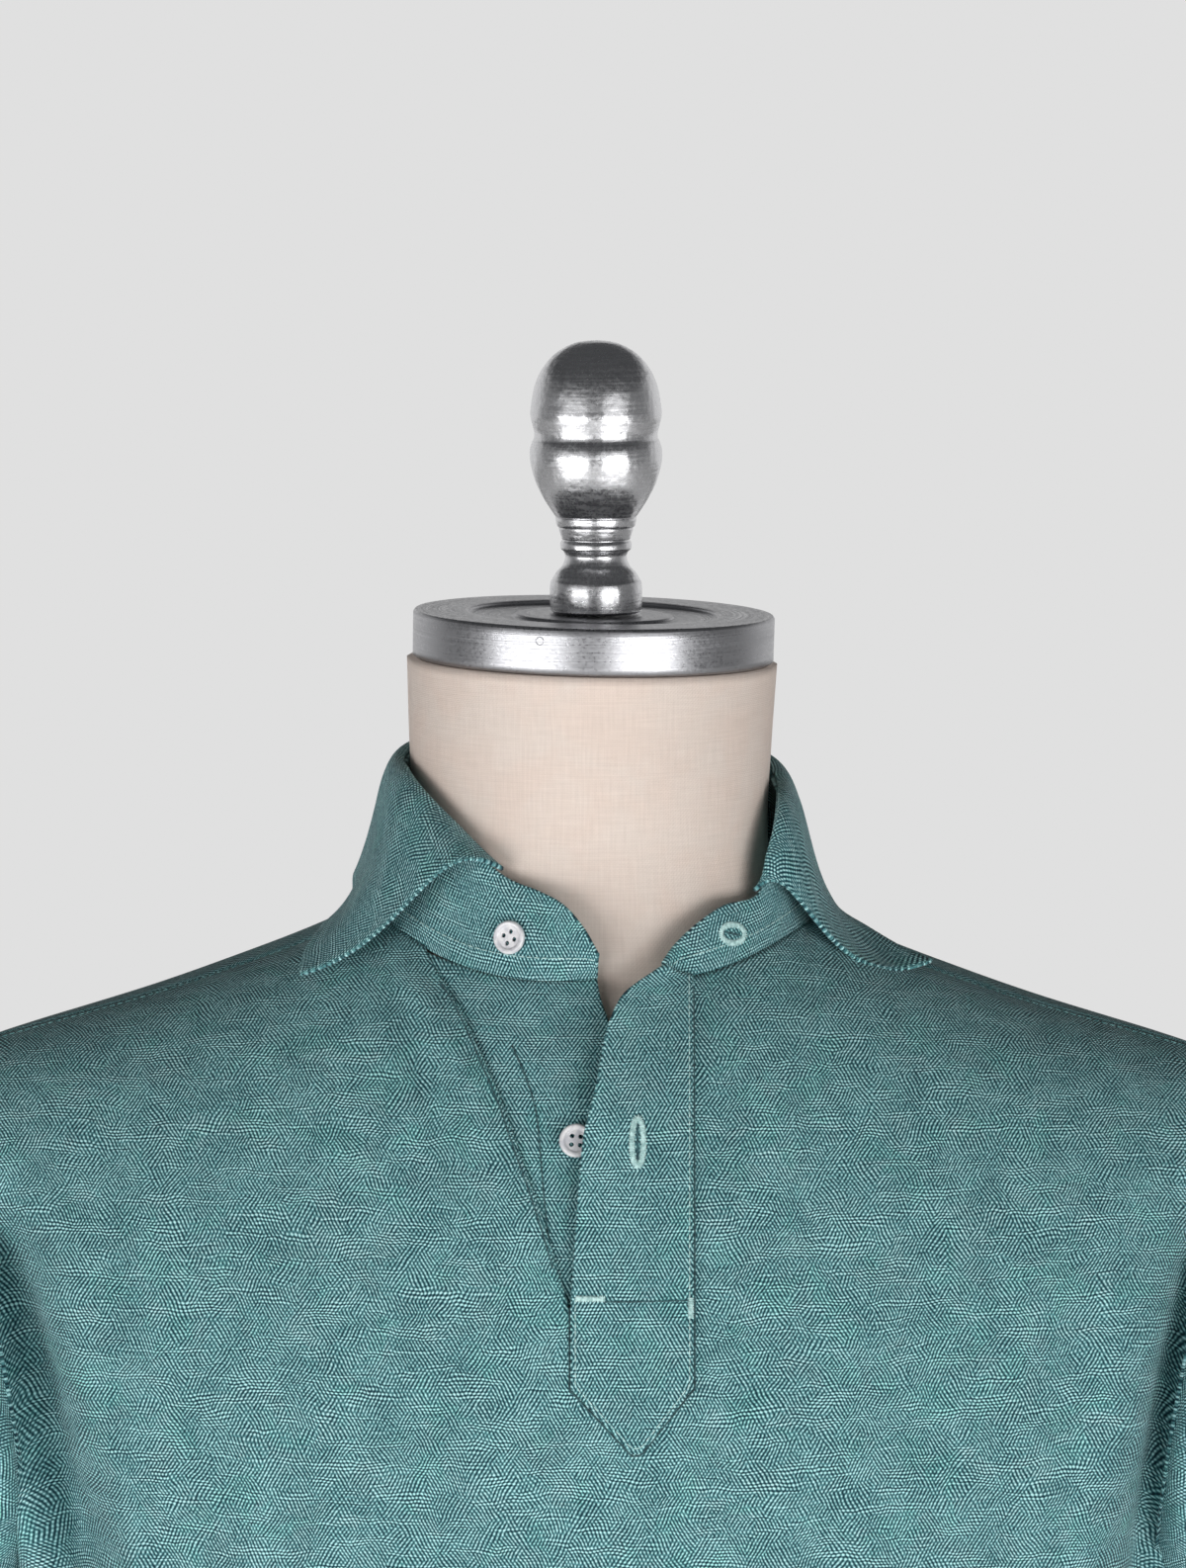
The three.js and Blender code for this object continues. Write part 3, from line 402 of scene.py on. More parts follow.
def fold_depth(folds, angle, z):
    """How far the long folds stand out at an angle and a height."""
    depth = 0
    for i in range(len(folds["width"])):
        fold = {name: column[i] for name, column in folds.items()}
        share = np.clip((fold["z_top"] - z) / (fold["z_top"] - fold["z_low"]), 0, 1)
        centre = mix(fold["angle_top"], fold["angle_low"], share)
        fade = smooth((fold["z_top"] + FOLD_FADE_Z - z) / (2 * FOLD_FADE_Z))
        depth = depth + fold["depth"] * fade * np.exp(-(((angle - centre) / fold["width"]) ** 2))
    return depth


# Share of its length by which a small fold fades in and out around each end
FOLD_END = 0.15
# Small folds on the front, each along a line from (x0, z0) to (x1, z1), bowed sideways by bow.
SMALL_FOLDS = table(
    "x0 z0 x1 z1 bow width depth",
    (70, 782, 47, 716, 2, 5, -1.3),
    (80, 780, 56, 712, 2, 6, 1.7),
    (-206, 690, -165, 570, 0, 12.5, -24),
    (-176, 690, -144, 560, 3, 9, 2.4),
    (206, 690, 183, 570, 0, 10.5, -17),
    (180, 680, 158, 560, -3, 10, 2.2),
    (36, 730, 36, 628, 0, 3.4, -0.8),
    (43, 735, 41, 640, 0, 5, 0.8),
    (14, 612, 12, 560, 0, 4, 1.2),
    (24, 622, 30, 570, 0, 4, -0.8),
    (-96, 690, -60, 600, 6, 9, 1.2),
    (96, 700, 66, 600, -6, 9, 1.2),
    (-60, 720, -38, 640, 4, 7, -0.9),
    (-71, 788, -26, 672, 2, 3.6, -3),
    (-79, 780, -40, 690, 2, 4.5, 1.2),
    (-130, 742, -100, 700, 3, 7, 0.9),
    (136, 738, 100, 694, -3, 7, 0.9),
)
# Height of the roll of cloth that stands along the button band's seam
SEAM_ROLL = table("z height", (655, 0), (675, 1.2), (700, 3), (725, 4), (750, 4.2), (772, 3), (795, 1.4))
SEAM_ROLL_OFF, SEAM_ROLL_WIDTH, SEAM_ROLL_START = 8.5, 6.5, 5
# The small folds die away over these last degrees before the armhole.
ARMHOLE_FADE = 4
# The same for the last share of a column before the neckline
NECKLINE_FADE = 0.1
# Below the shoulder seam they are flat over the first length in mm and full after the second.
SHOULDER_FLAT, SHOULDER_FADE = 4, 30

# Faint creases, each with its middle x and z, turn in radians, half length, width and height between limits
CREASE_COUNT = 110
CREASE_LIMITS = ((-190, 190), (540, 770), (-1.2, 1.2), (9, 24), (3.6, 5.5), (0.12, 0.42))
CREASE_REACH = 45
CREASE_BOW = 2.0
crease_dice = np.random.default_rng(11)
CREASES = [tuple(crease_dice.uniform(*limits) for limits in CREASE_LIMITS) for _ in range(CREASE_COUNT)]


def line_fold(x, z, x0, z0, x1, z1, bow, width, depth):
    """Height of one small fold at an x and a height."""
    length = math.hypot(x1 - x0, z1 - z0)
    along = ((x - x0) * (x1 - x0) + (z - z0) * (z1 - z0)) / length**2
    across = ((x - x0) * (z1 - z0) - (z - z0) * (x1 - x0)) / length
    across = across - bow * 4 * along * (1 - along)
    fade = smooth((along + FOLD_END) / (2 * FOLD_END)) * smooth((1 + FOLD_END - along) / (2 * FOLD_END))
    return depth * fade * np.exp(-((across / width) ** 2))


def front_relief(x, z):
    """How far the small folds and creases stand out of the front."""
    depth = 0 * x
    for i in range(len(SMALL_FOLDS["x0"])):
        depth = depth + line_fold(x, z, *[column[i] for column in SMALL_FOLDS.values()])
    for cx, cz, turn, half, width, height in CREASES:
        dx, dz = half * math.sin(turn), half * math.cos(turn)
        near = (np.abs(x - cx) < CREASE_REACH) & (np.abs(z - cz) < CREASE_REACH)
        if near.any():
            crease = line_fold(x, z, cx - dx, cz - dz, cx + dx, cz + dz, CREASE_BOW, width, height)
            depth = depth + np.where(near, crease, 0)
    left_of_seam = seam_x(z) - x
    roll = read_table(SEAM_ROLL, "z", z)["height"]
    roll = roll * np.exp(-(((left_of_seam - SEAM_ROLL_OFF) / SEAM_ROLL_WIDTH) ** 2))
    roll = roll * smooth(left_of_seam / SEAM_ROLL_START)
    depth = depth + np.where(z > SEAM_ROLL["z"][0], roll, 0)
    # Close to the neckline and the shoulder seams the cloth is held by its stitching.
    shoulder = ridge_z(x) - z
    return depth * smooth((shoulder - SHOULDER_FLAT) / SHOULDER_FADE)


def body_surface(side, angle, v, out=0.0):
    """Outer side of the front or the back with all its folds, moved out along its normal."""
    p = smooth_body(side, angle, v)
    n = normal_at(side, angle, v)
    raised = fold_depth(side["folds"], angle, p[..., 2]) + out
    relief = 0
    if side is FRONT:
        held = smooth((90 - np.abs(angle)) / ARMHOLE_FADE) * smooth((1 - v) / NECKLINE_FADE)
        relief = front_relief(p[..., 0], p[..., 2]) * held
    p = p + n * np.asarray(raised)[..., None]
    p[..., 1] -= relief
    p[..., 1] += side["facing"] * SEAM_GAP / 2
    return p


def angle_for_x(x):
    """The angle of the column whose foot at the underarm has this x."""
    half = read_table(TORSO, "z", UNDERARM_Z)["half_width"]
    return np.sign(x) * np.degrees(np.arcsin((np.abs(x) / half) ** (RING_ROUNDNESS / 2)))


# Nothing is sewn to the front below this share of its columns.
LOWEST_FRONT_V = -0.2


def v_for_z(angle, z):
    """Place up the front's columns at a height."""
    angle, z = np.broadcast_arrays(np.asarray(angle, float), np.asarray(z, float))
    handles = column_handles(FRONT, angle)
    cut_off = 1 - column_end(FRONT, handles)

    def reached(v):
        share = np.maximum(v, 0)
        rising = bezier(handles, share * (1 - cut_off * share))[..., 2]
        return np.where(v <= 0, mix(UNDERARM_Z, HEM_Z, np.maximum(-v, 0)), rising) >= z

    return halved(np.full(z.shape, LOWEST_FRONT_V), np.ones(z.shape), reached, 26)


def front_at(x, z, out=0.0):
    """The front at an x and a height, moved out along its normal."""
    x, z = np.broadcast_arrays(np.asarray(x, float), np.asarray(z, float))
    angle = angle_for_x(x)
    return body_surface(FRONT, angle, v_for_z(angle, z), out)


def neckline_z(x):
    """Height of the front's neckline at an x."""
    return smooth_body(FRONT, angle_for_x(np.asarray(x, float)), 1.0)[..., 2]


# The cloth turns round the side below this share of a column.
SIDE_TURN_V = 0.35
# Places along a column where its speed is read, and along the quarter ring, for their lengths
COLUMN_READINGS = 8
RING_READINGS = 181


def cloth_place(side, angle, v):
    """Cloth place in mm: U round the panel from its middle and V up its columns from the underarm."""
    angle, v = np.broadcast_arrays(np.asarray(angle, float), np.asarray(v, float))
    p = smooth_body(side, angle, v)
    handles = column_handles(side, angle)
    share = np.clip(v, 0, 1)
    end = share * (1 - (1 - column_end(side, handles)) * share)
    legs = 3 * np.diff(handles, axis=-2)
    rise = 0
    for node, weight in zip(*np.polynomial.legendre.leggauss(COLUMN_READINGS)):
        t = (end * (node + 1) / 2)[..., None]
        speed = legs[..., 0, :] * (1 - t) ** 2 + 2 * legs[..., 1, :] * t * (1 - t) + legs[..., 2, :] * t * t
        rise = rise + weight / 2 * end * np.linalg.norm(speed, axis=-1)
    turn = np.linspace(0, 90, RING_READINGS)
    ring = ring_point(side, turn, UNDERARM_Z + 0 * turn)
    reach = np.concatenate([[0], np.cumsum(np.linalg.norm(np.diff(ring, axis=0), axis=-1))])
    stretch = np.interp(np.abs(angle), turn[1:], reach[1:] / ring[1:, 0])
    around = p[..., 0] * mix(1, stretch, 1 - smooth(v / SIDE_TURN_V))
    return np.stack([around, np.where(v <= 0, p[..., 2] - UNDERARM_Z, rise)], axis=-1)


# Mesh making
def edge_steps(count, margin=0.02):
    """Shares from 0 to 1 with a narrow step at both ends."""
    return np.concatenate([[0], np.linspace(margin, 1 - margin, count - 1), [1]])


def grid_normals(grid, wrap=False):
    if wrap:
        across = np.roll(grid, -1, axis=1) - np.roll(grid, 1, axis=1)
    else:
        across = np.empty_like(grid)
        across[:, 1:-1] = grid[:, 2:] - grid[:, :-2]
        across[:, 0] = grid[:, 1] - grid[:, 0]
        across[:, -1] = grid[:, -1] - grid[:, -2]
    up = np.empty_like(grid)
    up[1:-1] = grid[2:] - grid[:-2]
    up[0] = grid[1] - grid[0]
    up[-1] = grid[-1] - grid[-2]
    return unit(np.cross(across, up))


def make_object(name, points_mm, faces, material, uv=None):
    """An object at the origin from points in mm. uv holds one place in mm for each face corner."""
    mesh = bpy.data.meshes.new(name)
    mesh.from_pydata((np.asarray(points_mm) * MM).tolist(), [], faces)
    if uv is not None:
        layer = mesh.uv_layers.new(name="cloth")
        layer.data.foreach_set("uv", (np.asarray(uv) * MM).astype(np.float32).ravel())
    mesh.polygons.foreach_set("use_smooth", np.ones(len(mesh.polygons), bool))
    mesh.validate()
    mesh.materials.append(material)
    obj = bpy.data.objects.new(name, mesh)
    scene.collection.objects.link(obj)
    return obj


def cloth_wall(
    name, outer, thickness, place, material, wrap=False, keep=None, flat_seam=None, bulge=0.0
):
    """A closed wall of cloth from a grid of outer points. place gives U and V, with a column more on a tube.
    flat_seam marks points whose edge is square to a seam of equal y. bulge rounds the free edges."""
    rows, cols = outer.shape[:2]
    normals = grid_normals(outer, wrap)
    if flat_seam is not None:
        level = normals.copy()
        level[..., 1] = 0
        normals = np.where(flat_seam[..., None], unit(level), normals)
    inner = outer - thickness * normals
    ids = np.arange(rows * cols).reshape(rows, cols)
    if wrap:
        ids = np.concatenate([ids, ids[:, :1]], axis=1)
    spots = np.arange(rows * ids.shape[1]).reshape(rows, ids.shape[1])
    cells, marks = (
        np.stack([g[:-1, :-1], g[:-1, 1:], g[1:, 1:], g[1:, :-1]], axis=-1).reshape(-1, 4)
        for g in (ids, spots)
    )
    if keep is not None:
        chosen = keep.ravel()
        cells, marks = cells[chosen], marks[chosen]
    half = rows * cols
    edges = np.concatenate([cells[:, [k, (k + 1) % 4]] for k in range(4)])
    edge_marks = np.concatenate([marks[:, [k, (k + 1) % 4]] for k in range(4)])
    _, back, count = np.unique(np.sort(edges, axis=1), axis=0, return_inverse=True, return_counts=True)
    once = count[back.ravel()] == 1
    rim, rim_marks = edges[once], edge_marks[once]
    points = np.concatenate([outer.reshape(-1, 3), inner.reshape(-1, 3)])
    # A middle line runs round the rim, pushed out by the bulge.
    rim_ids = np.unique(rim)
    push = np.zeros((half, 3))
    for a, b in rim:
        along = points[b] - points[a]
        side = np.cross(along, normals.reshape(-1, 3)[a])
        push[a] += side
        push[b] += side
    middle_of = np.full(half, -1)
    middle_of[rim_ids] = 2 * half + np.arange(len(rim_ids))
    middles = (points[rim_ids] + points[rim_ids + half]) / 2 + bulge * unit(push[rim_ids])
    points = np.concatenate([points, middles])
    a, b = rim[:, 0], rim[:, 1]
    ma, mb = middle_of[a], middle_of[b]
    faces = np.concatenate(
        [
            cells,
            cells[:, ::-1] + half,
            np.stack([b, a, ma, mb], axis=-1),
            np.stack([mb, ma, a + half, b + half], axis=-1),
        ]
    )
    rim_spots = np.stack([rim_marks[:, 1], rim_marks[:, 0], rim_marks[:, 0], rim_marks[:, 1]], axis=-1)
    corner_spots = np.concatenate([marks, marks[:, ::-1], rim_spots, rim_spots])
    used = np.unique(faces)
    renumber = np.full(len(points), -1)
    renumber[used] = np.arange(len(used))
    uv = place.reshape(-1, 2)[corner_spots.ravel()]
    obj = make_object(name, points[used], renumber[faces].tolist(), material, uv)
    return obj


def lofted(loops):
    """Faces between closed loops of point numbers, each loop with the next."""
    faces = []
    for below, above in zip(loops, loops[1:]):
        faces += np.stack([below, np.roll(below, -1), np.roll(above, -1), above], axis=-1).tolist()
    return faces


def lathe(name, profile, segments, material, matrix=None):
    """A turned solid from (r, z) rows in mm that start and end on the axis."""
    profile = np.asarray(profile, float)
    turn = np.linspace(0, 2 * math.pi, segments, endpoint=False)
    rings = profile[1:-1]
    points = stack(rings[:, :1] * np.cos(turn), rings[:, :1] * np.sin(turn), rings[:, 1:]).reshape(-1, 3)
    count = len(rings)
    points = np.concatenate([points, [[0, 0, profile[0, 1]], [0, 0, profile[-1, 1]]]])
    loops = np.arange(count * segments).reshape(count, segments)
    faces = lofted(loops)
    for j in range(segments):
        k = (j + 1) % segments
        faces.append([k, j, count * segments])
        faces.append([(count - 1) * segments + j, (count - 1) * segments + k, count * segments + 1])
    if matrix is not None:
        points = points @ np.asarray(matrix.to_3x3()).T + np.asarray(matrix.translation)
    return make_object(name, points, faces, material)


def smooth_profile(rows, per_step, sharp=()):
    """An outline through (r, z) rows, rounded except at the rows whose numbers are in sharp."""
    rows = np.asarray(rows, float)
    out = [rows[0]]
    for i in range(len(rows) - 1):
        before = rows[max(i - 1, 0)] if i not in sharp else rows[i]
        after = rows[min(i + 2, len(rows) - 1)] if i + 1 not in sharp else rows[i + 1]
        m, n = (rows[i + 1] - before) / 2, (after - rows[i]) / 2
        for t in np.linspace(0, 1, per_step + 1)[1:]:
            out.append(
                (2 * t**3 - 3 * t**2 + 1) * rows[i]
                + (t**3 - 2 * t**2 + t) * m
                + (3 * t**2 - 2 * t**3) * rows[i + 1]
                + (t**3 - t**2) * n
            )
    out = np.array(out)
    out[:, 0] = np.maximum(out[:, 0], 0)
    out[0, 0] = out[-1, 0] = 0
    return out


# Shader building. A cloth place is in metres in the UV map and is scaled to mm.
TO_MM = (1000, 1000, 0)


def put(tree, kind, settings=None, inputs=None):
    """A node with its settings, and its inputs linked or set."""
    node = tree.nodes.new(kind)
    for name, value in (settings or {}).items():
        setattr(node, name, value)
    for name, value in (inputs or {}).items():
        if isinstance(value, bpy.types.NodeSocket):
            tree.links.new(value, node.inputs[name])
        else:
            node.inputs[name].default_value = value
    return node


def maths(tree, operation, *values):
    node = put(tree, "ShaderNodeMath", {"operation": operation}, dict(enumerate(values)))
    return node.outputs[0]


def scaled(tree, vector, scale):
    return put(tree, "ShaderNodeVectorMath", {"operation": "MULTIPLY"}, {0: vector, 1: scale}).outputs[0]


def noise(tree, vector, scale, detail=2.0, distortion=0.0, output="Fac"):
    inputs = {"Vector": vector, "Scale": scale, "Detail": detail, "Distortion": distortion}
    return put(tree, "ShaderNodeTexNoise", {"noise_dimensions": "3D"}, inputs).outputs[output]


def remap(tree, value, low, high, to_low=0.0, to_high=1.0):
    settings = {"interpolation_type": "SMOOTHSTEP"}
    inputs = {"Value": value, "From Min": low, "From Max": high, "To Min": to_low, "To Max": to_high}
    return put(tree, "ShaderNodeMapRange", settings, inputs).outputs["Result"]


def blend_colour(tree, share, first, second, kind="MIX"):
    settings = {"data_type": "RGBA", "blend_type": kind, "clamp_factor": True}
    return put(tree, "ShaderNodeMix", settings, {0: share, 6: first, 7: second}).outputs[2]


def new_group(name, inputs, outputs):
    """A shader group. inputs and outputs are (name, socket type, value) rows."""
    tree = bpy.data.node_groups.new(name, "ShaderNodeTree")
    for label, kind, value in inputs:
        socket = tree.interface.new_socket(label, in_out="INPUT", socket_type=kind)
        if value is not None:
            socket.default_value = value
    for label, kind in outputs:
        tree.interface.new_socket(label, in_out="OUTPUT", socket_type=kind)
    return tree, tree.nodes.new("NodeGroupInput").outputs, tree.nodes.new("NodeGroupOutput").inputs


# The knit's slow and quick sway: how often in each mm, and how far in mm
SLOW_SWAY_SCALE, SLOW_SWAY = 0.03, (6, 7, 0)
QUICK_SWAY_SCALE, QUICK_SWAY = 0.13, (1.3, 2.3, 0)
# Weights of its three waves. The first two trade places where the knit leans, and the third grows at a rib.
RISING_MOST, FALLING_LEAST, COURSE_LEAST = 0.52, 0.1, 0.12
LEAN_SCALE, LEAN_SHARE = 0.12, 0.42
RIB_SCALE, RIB_SHARE, RIB_TONE = (0.06, 0.27, 0), 0.42, 0.07
# Its patches of tone, green and grey, and its unevenness from dot to dot
MOOD_SCALE, MOOD_TONE, GREEN_SHARE, GREY_SHARE = 0.08, 0.36, 0.3, 0.22
DOT_NOISE_SCALE, DOT_NOISE = 0.8, 0.9


def knit_group():
    """Pique knit: pale dots in staggered courses on a dark net. Three waves make the lattice. Their weights
    change from patch to patch, so the dots run together into slanted lines or into courses that wander."""
    tree, given, result = new_group(
        "pique_knit",
        [
            ("Place", "NodeSocketVector", None),
            ("Hole", "NodeSocketColor", (0.006, 0.035, 0.05, 1)),
            ("Yarn", "NodeSocketColor", (0.1, 0.29, 0.31, 1)),
            ("Dot", "NodeSocketColor", (0.6, 0.95, 0.97, 1)),
            ("Wale", "NodeSocketFloat", 1.29),
            ("Course", "NodeSocketFloat", 1.13),
            ("Tone", "NodeSocketFloat", 0.0),
            ("Wander", "NodeSocketFloat", 1.0),
            ("Patch", "NodeSocketFloat", 1.0),
        ],
        [("Color", "NodeSocketColor"), ("Height", "NodeSocketFloat")],
    )
    place = scaled(tree, given["Place"], TO_MM)
    slow = scaled(tree, noise(tree, place, SLOW_SWAY_SCALE, 1.0, output="Color"), SLOW_SWAY)
    quick = scaled(tree, noise(tree, place, QUICK_SWAY_SCALE, 1.0, output="Color"), QUICK_SWAY)
    sway = put(tree, "ShaderNodeVectorMath", {"operation": "ADD"}, {0: slow, 1: quick}).outputs[0]
    wander = {0: sway, "Scale": given["Wander"]}
    sway = put(tree, "ShaderNodeVectorMath", {"operation": "SCALE"}, wander).outputs[0]
    moved = put(tree, "ShaderNodeVectorMath", {"operation": "ADD"}, {0: place, 1: sway}).outputs[0]
    parts = put(tree, "ShaderNodeSeparateXYZ", None, {0: moved}).outputs
    across = maths(tree, "MULTIPLY", maths(tree, "DIVIDE", parts[0], given["Wale"]), 2 * math.pi)
    up = maths(tree, "MULTIPLY", maths(tree, "DIVIDE", parts[1], given["Course"]), math.pi)
    rising = maths(tree, "COSINE", maths(tree, "SUBTRACT", across, up))
    falling = maths(tree, "COSINE", maths(tree, "ADD", across, up))
    course = maths(tree, "COSINE", maths(tree, "MULTIPLY", up, 2.0))
    lean = remap(tree, noise(tree, place, LEAN_SCALE, 1.0), 0.42, 0.58)
    rib = remap(tree, noise(tree, scaled(tree, place, RIB_SCALE), 1.0, 1.0, 0.5), 0.5, 0.64)
    weight = maths(tree, "MULTIPLY_ADD", lean, -LEAN_SHARE, RISING_MOST)
    lattice = maths(tree, "MULTIPLY", rising, weight)
    weight = maths(tree, "MULTIPLY_ADD", lean, LEAN_SHARE, FALLING_LEAST)
    lattice = maths(tree, "MULTIPLY_ADD", falling, weight, lattice)
    weight = maths(tree, "MULTIPLY_ADD", rib, RIB_SHARE, COURSE_LEAST)
    lattice = maths(tree, "MULTIPLY_ADD", course, weight, lattice)
    mood = noise(tree, place, MOOD_SCALE, 2.0, 0.6, output="Color")
    mood = put(tree, "ShaderNodeSeparateColor", None, {0: mood}).outputs
    uneven = maths(tree, "SUBTRACT", noise(tree, place, DOT_NOISE_SCALE, 1.0), 0.5)
    uneven = maths(tree, "MULTIPLY", uneven, DOT_NOISE)
    tone = maths(tree, "MULTIPLY_ADD", mood[0], MOOD_TONE, -MOOD_TONE / 2)
    tone = maths(tree, "MULTIPLY", tone, given["Patch"])
    tone = maths(tree, "MULTIPLY_ADD", rib, RIB_TONE, tone)
    tone = maths(tree, "ADD", maths(tree, "ADD", tone, uneven), given["Tone"])
    level = maths(tree, "ADD", lattice, tone)
    colour = blend_colour(tree, remap(tree, level, -0.62, 0.12), given["Hole"], given["Yarn"])
    colour = blend_colour(tree, remap(tree, level, 0.0, 0.78), colour, given["Dot"])
    green = remap(tree, mood[1], 0.52, 0.68, 0.0, GREEN_SHARE)
    colour = blend_colour(tree, green, colour, (0.72, 1.06, 0.95, 1), "MULTIPLY")
    grey = remap(tree, mood[2], 0.5, 0.66, 0.0, GREY_SHARE)
    colour = blend_colour(tree, grey, colour, (1.3, 0.98, 0.98, 1), "MULTIPLY")
    tree.links.new(colour, result["Color"])
    tree.links.new(lattice, result["Height"])
    return tree


def new_material(name, **sockets):
    """A material with its Principled shader, whose constants are set on its own sockets."""
    material = bpy.data.materials.new(name)
    material.use_nodes = True
    shader = material.node_tree.nodes["Principled BSDF"]
    for label, value in sockets.items():
        shader.inputs[label.replace("_", " ")].default_value = value
    return material, material.node_tree, shader


def bumped(tree, shader, height, distance, strength):
    bump = put(tree, "ShaderNodeBump", None, {"Strength": strength, "Distance": distance, "Height": height})
    tree.links.new(bump.outputs["Normal"], shader.inputs["Normal"])


KNIT = knit_group()


def knit_material(name, **values):
    material, tree, shader = new_material(name, Roughness=0.88, Sheen_Weight=0.12, Sheen_Roughness=0.5)
    shader.inputs["Specular IOR Level"].default_value = 0.2
    place = put(tree, "ShaderNodeUVMap", {"uv_map": "cloth"}).outputs[0]
    given = {"Place": place}
    given.update({label.replace("_", " "): value for label, value in values.items()})
    knit = put(tree, "ShaderNodeGroup", {"node_tree": KNIT}, given)
    tree.links.new(knit.outputs["Color"], shader.inputs["Base Color"])
    bumped(tree, shader, knit.outputs["Height"], 0.0003, 0.5)
    return material


body_knit = knit_material("body_knit", Tone=-0.05)
band_knit = knit_material("band_knit", Tone=-0.06, Wander=0.35, Patch=0.8)
collar_knit = knit_material("collar_knit", Tone=-0.08, Wander=0.6, Patch=0.8)


def thread_material(name, dull, bright):
    """Sewing thread that varies between two shades from place to place."""
    material, tree, shader = new_material(name, Roughness=0.7, Sheen_Weight=0.2)
    place = put(tree, "ShaderNodeTexCoord").outputs["Object"]
    shade = remap(tree, noise(tree, place, 900.0, 1.0), 0.3, 0.7)
    colour = blend_colour(tree, shade, dull, bright)
    tree.links.new(colour, shader.inputs["Base Color"])
    return material


# Pitch of the canvas weave in mm
CANVAS_PITCH = 0.62


def canvas_material():
    """Plain canvas with slubs in both directions and a faint blush in patches."""
    material, tree, shader = new_material("form_canvas", Roughness=0.85, Sheen_Weight=0.1)
    place = put(tree, "ShaderNodeUVMap", {"uv_map": "cloth"}).outputs[0]
    place = scaled(tree, place, TO_MM)
    parts = put(tree, "ShaderNodeSeparateXYZ", None, {0: place}).outputs
    across = maths(tree, "DIVIDE", parts[0], CANVAS_PITCH)
    up = maths(tree, "DIVIDE", parts[1], CANVAS_PITCH)
    over = maths(tree, "ADD", maths(tree, "FLOOR", across), maths(tree, "FLOOR", up))
    over = maths(tree, "FLOORED_MODULO", over, 2.0)
    warp = maths(tree, "ABSOLUTE", maths(tree, "SINE", maths(tree, "MULTIPLY", across, math.pi)))
    weft = maths(tree, "ABSOLUTE", maths(tree, "SINE", maths(tree, "MULTIPLY", up, math.pi)))
    height = maths(tree, "MULTIPLY_ADD", maths(tree, "SUBTRACT", warp, weft), over, weft)
    slub = noise(tree, scaled(tree, place, (0.08, 1.3, 0)), 1.0, 2.0)
    slub = maths(tree, "ADD", slub, noise(tree, scaled(tree, place, (1.3, 0.08, 0)), 1.0, 2.0))
    tone = maths(tree, "MULTIPLY_ADD", height, 0.16, maths(tree, "MULTIPLY", slub, 0.42))
    colour = blend_colour(tree, tone, (0.67, 0.56, 0.49, 1), (0.96, 0.84, 0.76, 1))
    blush = remap(tree, noise(tree, place, 0.045, 3.0, 0.5), 0.35, 0.65, 0.0, 0.5)
    colour = blend_colour(tree, blush, colour, (1.0, 0.93, 0.9, 1), "MULTIPLY")
    tree.links.new(colour, shader.inputs["Base Color"])
    bumped(tree, shader, maths(tree, "ADD", height, slub), 0.00012, 0.5)
    return material


def turned_metal(name, colour, roughness, ring_scale, hammer):
    """Turned metal: fine rings round its axis, scratches and, with hammer over 0, small soft dents."""
    material, tree, shader = new_material(name, Metallic=1.0)
    place = scaled(tree, put(tree, "ShaderNodeTexCoord").outputs["Object"], (1000, 1000, 1000))
    parts = put(tree, "ShaderNodeSeparateXYZ", None, {0: place}).outputs
    squares = maths(tree, "MULTIPLY", parts[1], parts[1])
    squares = maths(tree, "ADD", maths(tree, "MULTIPLY", parts[0], parts[0]), squares)
    radius = maths(tree, "SQRT", squares)
    around = put(tree, "ShaderNodeCombineXYZ", None, {0: radius, 1: 0.0, 2: parts[2]}).outputs[0]
    rings = noise(tree, around, ring_scale, 3.0)
    marks = noise(tree, place, 0.9, 3.0, 0.6)
    dents = noise(tree, place, 0.28, 1.0)
    tone = maths(tree, "MULTIPLY_ADD", rings, 0.5, maths(tree, "MULTIPLY", marks, 0.5))
    dull = tuple(c * 0.72 for c in colour[:3]) + (1,)
    tree.links.new(blend_colour(tree, tone, dull, colour), shader.inputs["Base Color"])
    rough = remap(tree, tone, 0.3, 0.7, roughness * 0.75, roughness * 1.4)
    tree.links.new(rough, shader.inputs["Roughness"])
    height = maths(tree, "MULTIPLY_ADD", dents, hammer, maths(tree, "MULTIPLY", rings, 0.18))
    height = maths(tree, "MULTIPLY_ADD", marks, 0.12, height)
    bumped(tree, shader, height, 0.0006, 0.5)
    return material


def pearl_material():
    """White button plastic with a soft cloud under its gloss."""
    gloss = {"Roughness": 0.22, "Coat_Weight": 0.5, "Coat_Roughness": 0.12}
    material, tree, shader = new_material("pearl_button", **gloss)
    place = put(tree, "ShaderNodeTexCoord").outputs["Object"]
    cloud = remap(tree, noise(tree, place, 260.0, 3.0, 1.2), 0.35, 0.65)
    colour = blend_colour(tree, cloud, (0.66, 0.66, 0.7, 1), (0.86, 0.85, 0.86, 1))
    tree.links.new(colour, shader.inputs["Base Color"])
    return material


mint_thread = thread_material("mint_thread", (0.34, 0.56, 0.55, 1), (0.66, 0.9, 0.88, 1))
# Dark thread for the placket's seams, which are partly painted shade, and for the painted shade in the
# buttonhole slits
seam_and_shade_thread = thread_material("seam_and_shade_thread", (0.008, 0.045, 0.055, 1), (0.05, 0.15, 0.165, 1))
edge_thread = thread_material("edge_thread", (0.03, 0.12, 0.13, 1), (0.15, 0.37, 0.37, 1))
knit_thread = thread_material("knit_thread", (0.04, 0.17, 0.18, 1), (0.24, 0.5, 0.5, 1))
form_canvas = canvas_material()
cap_metal = turned_metal("brushed_cap", (0.5, 0.5, 0.52, 1), 0.32, 2.2, 0.0)
finial_metal = turned_metal("hammered_finial", (0.86, 0.86, 0.88, 1), 0.26, 1.2, 0.7)
pearl = pearl_material()


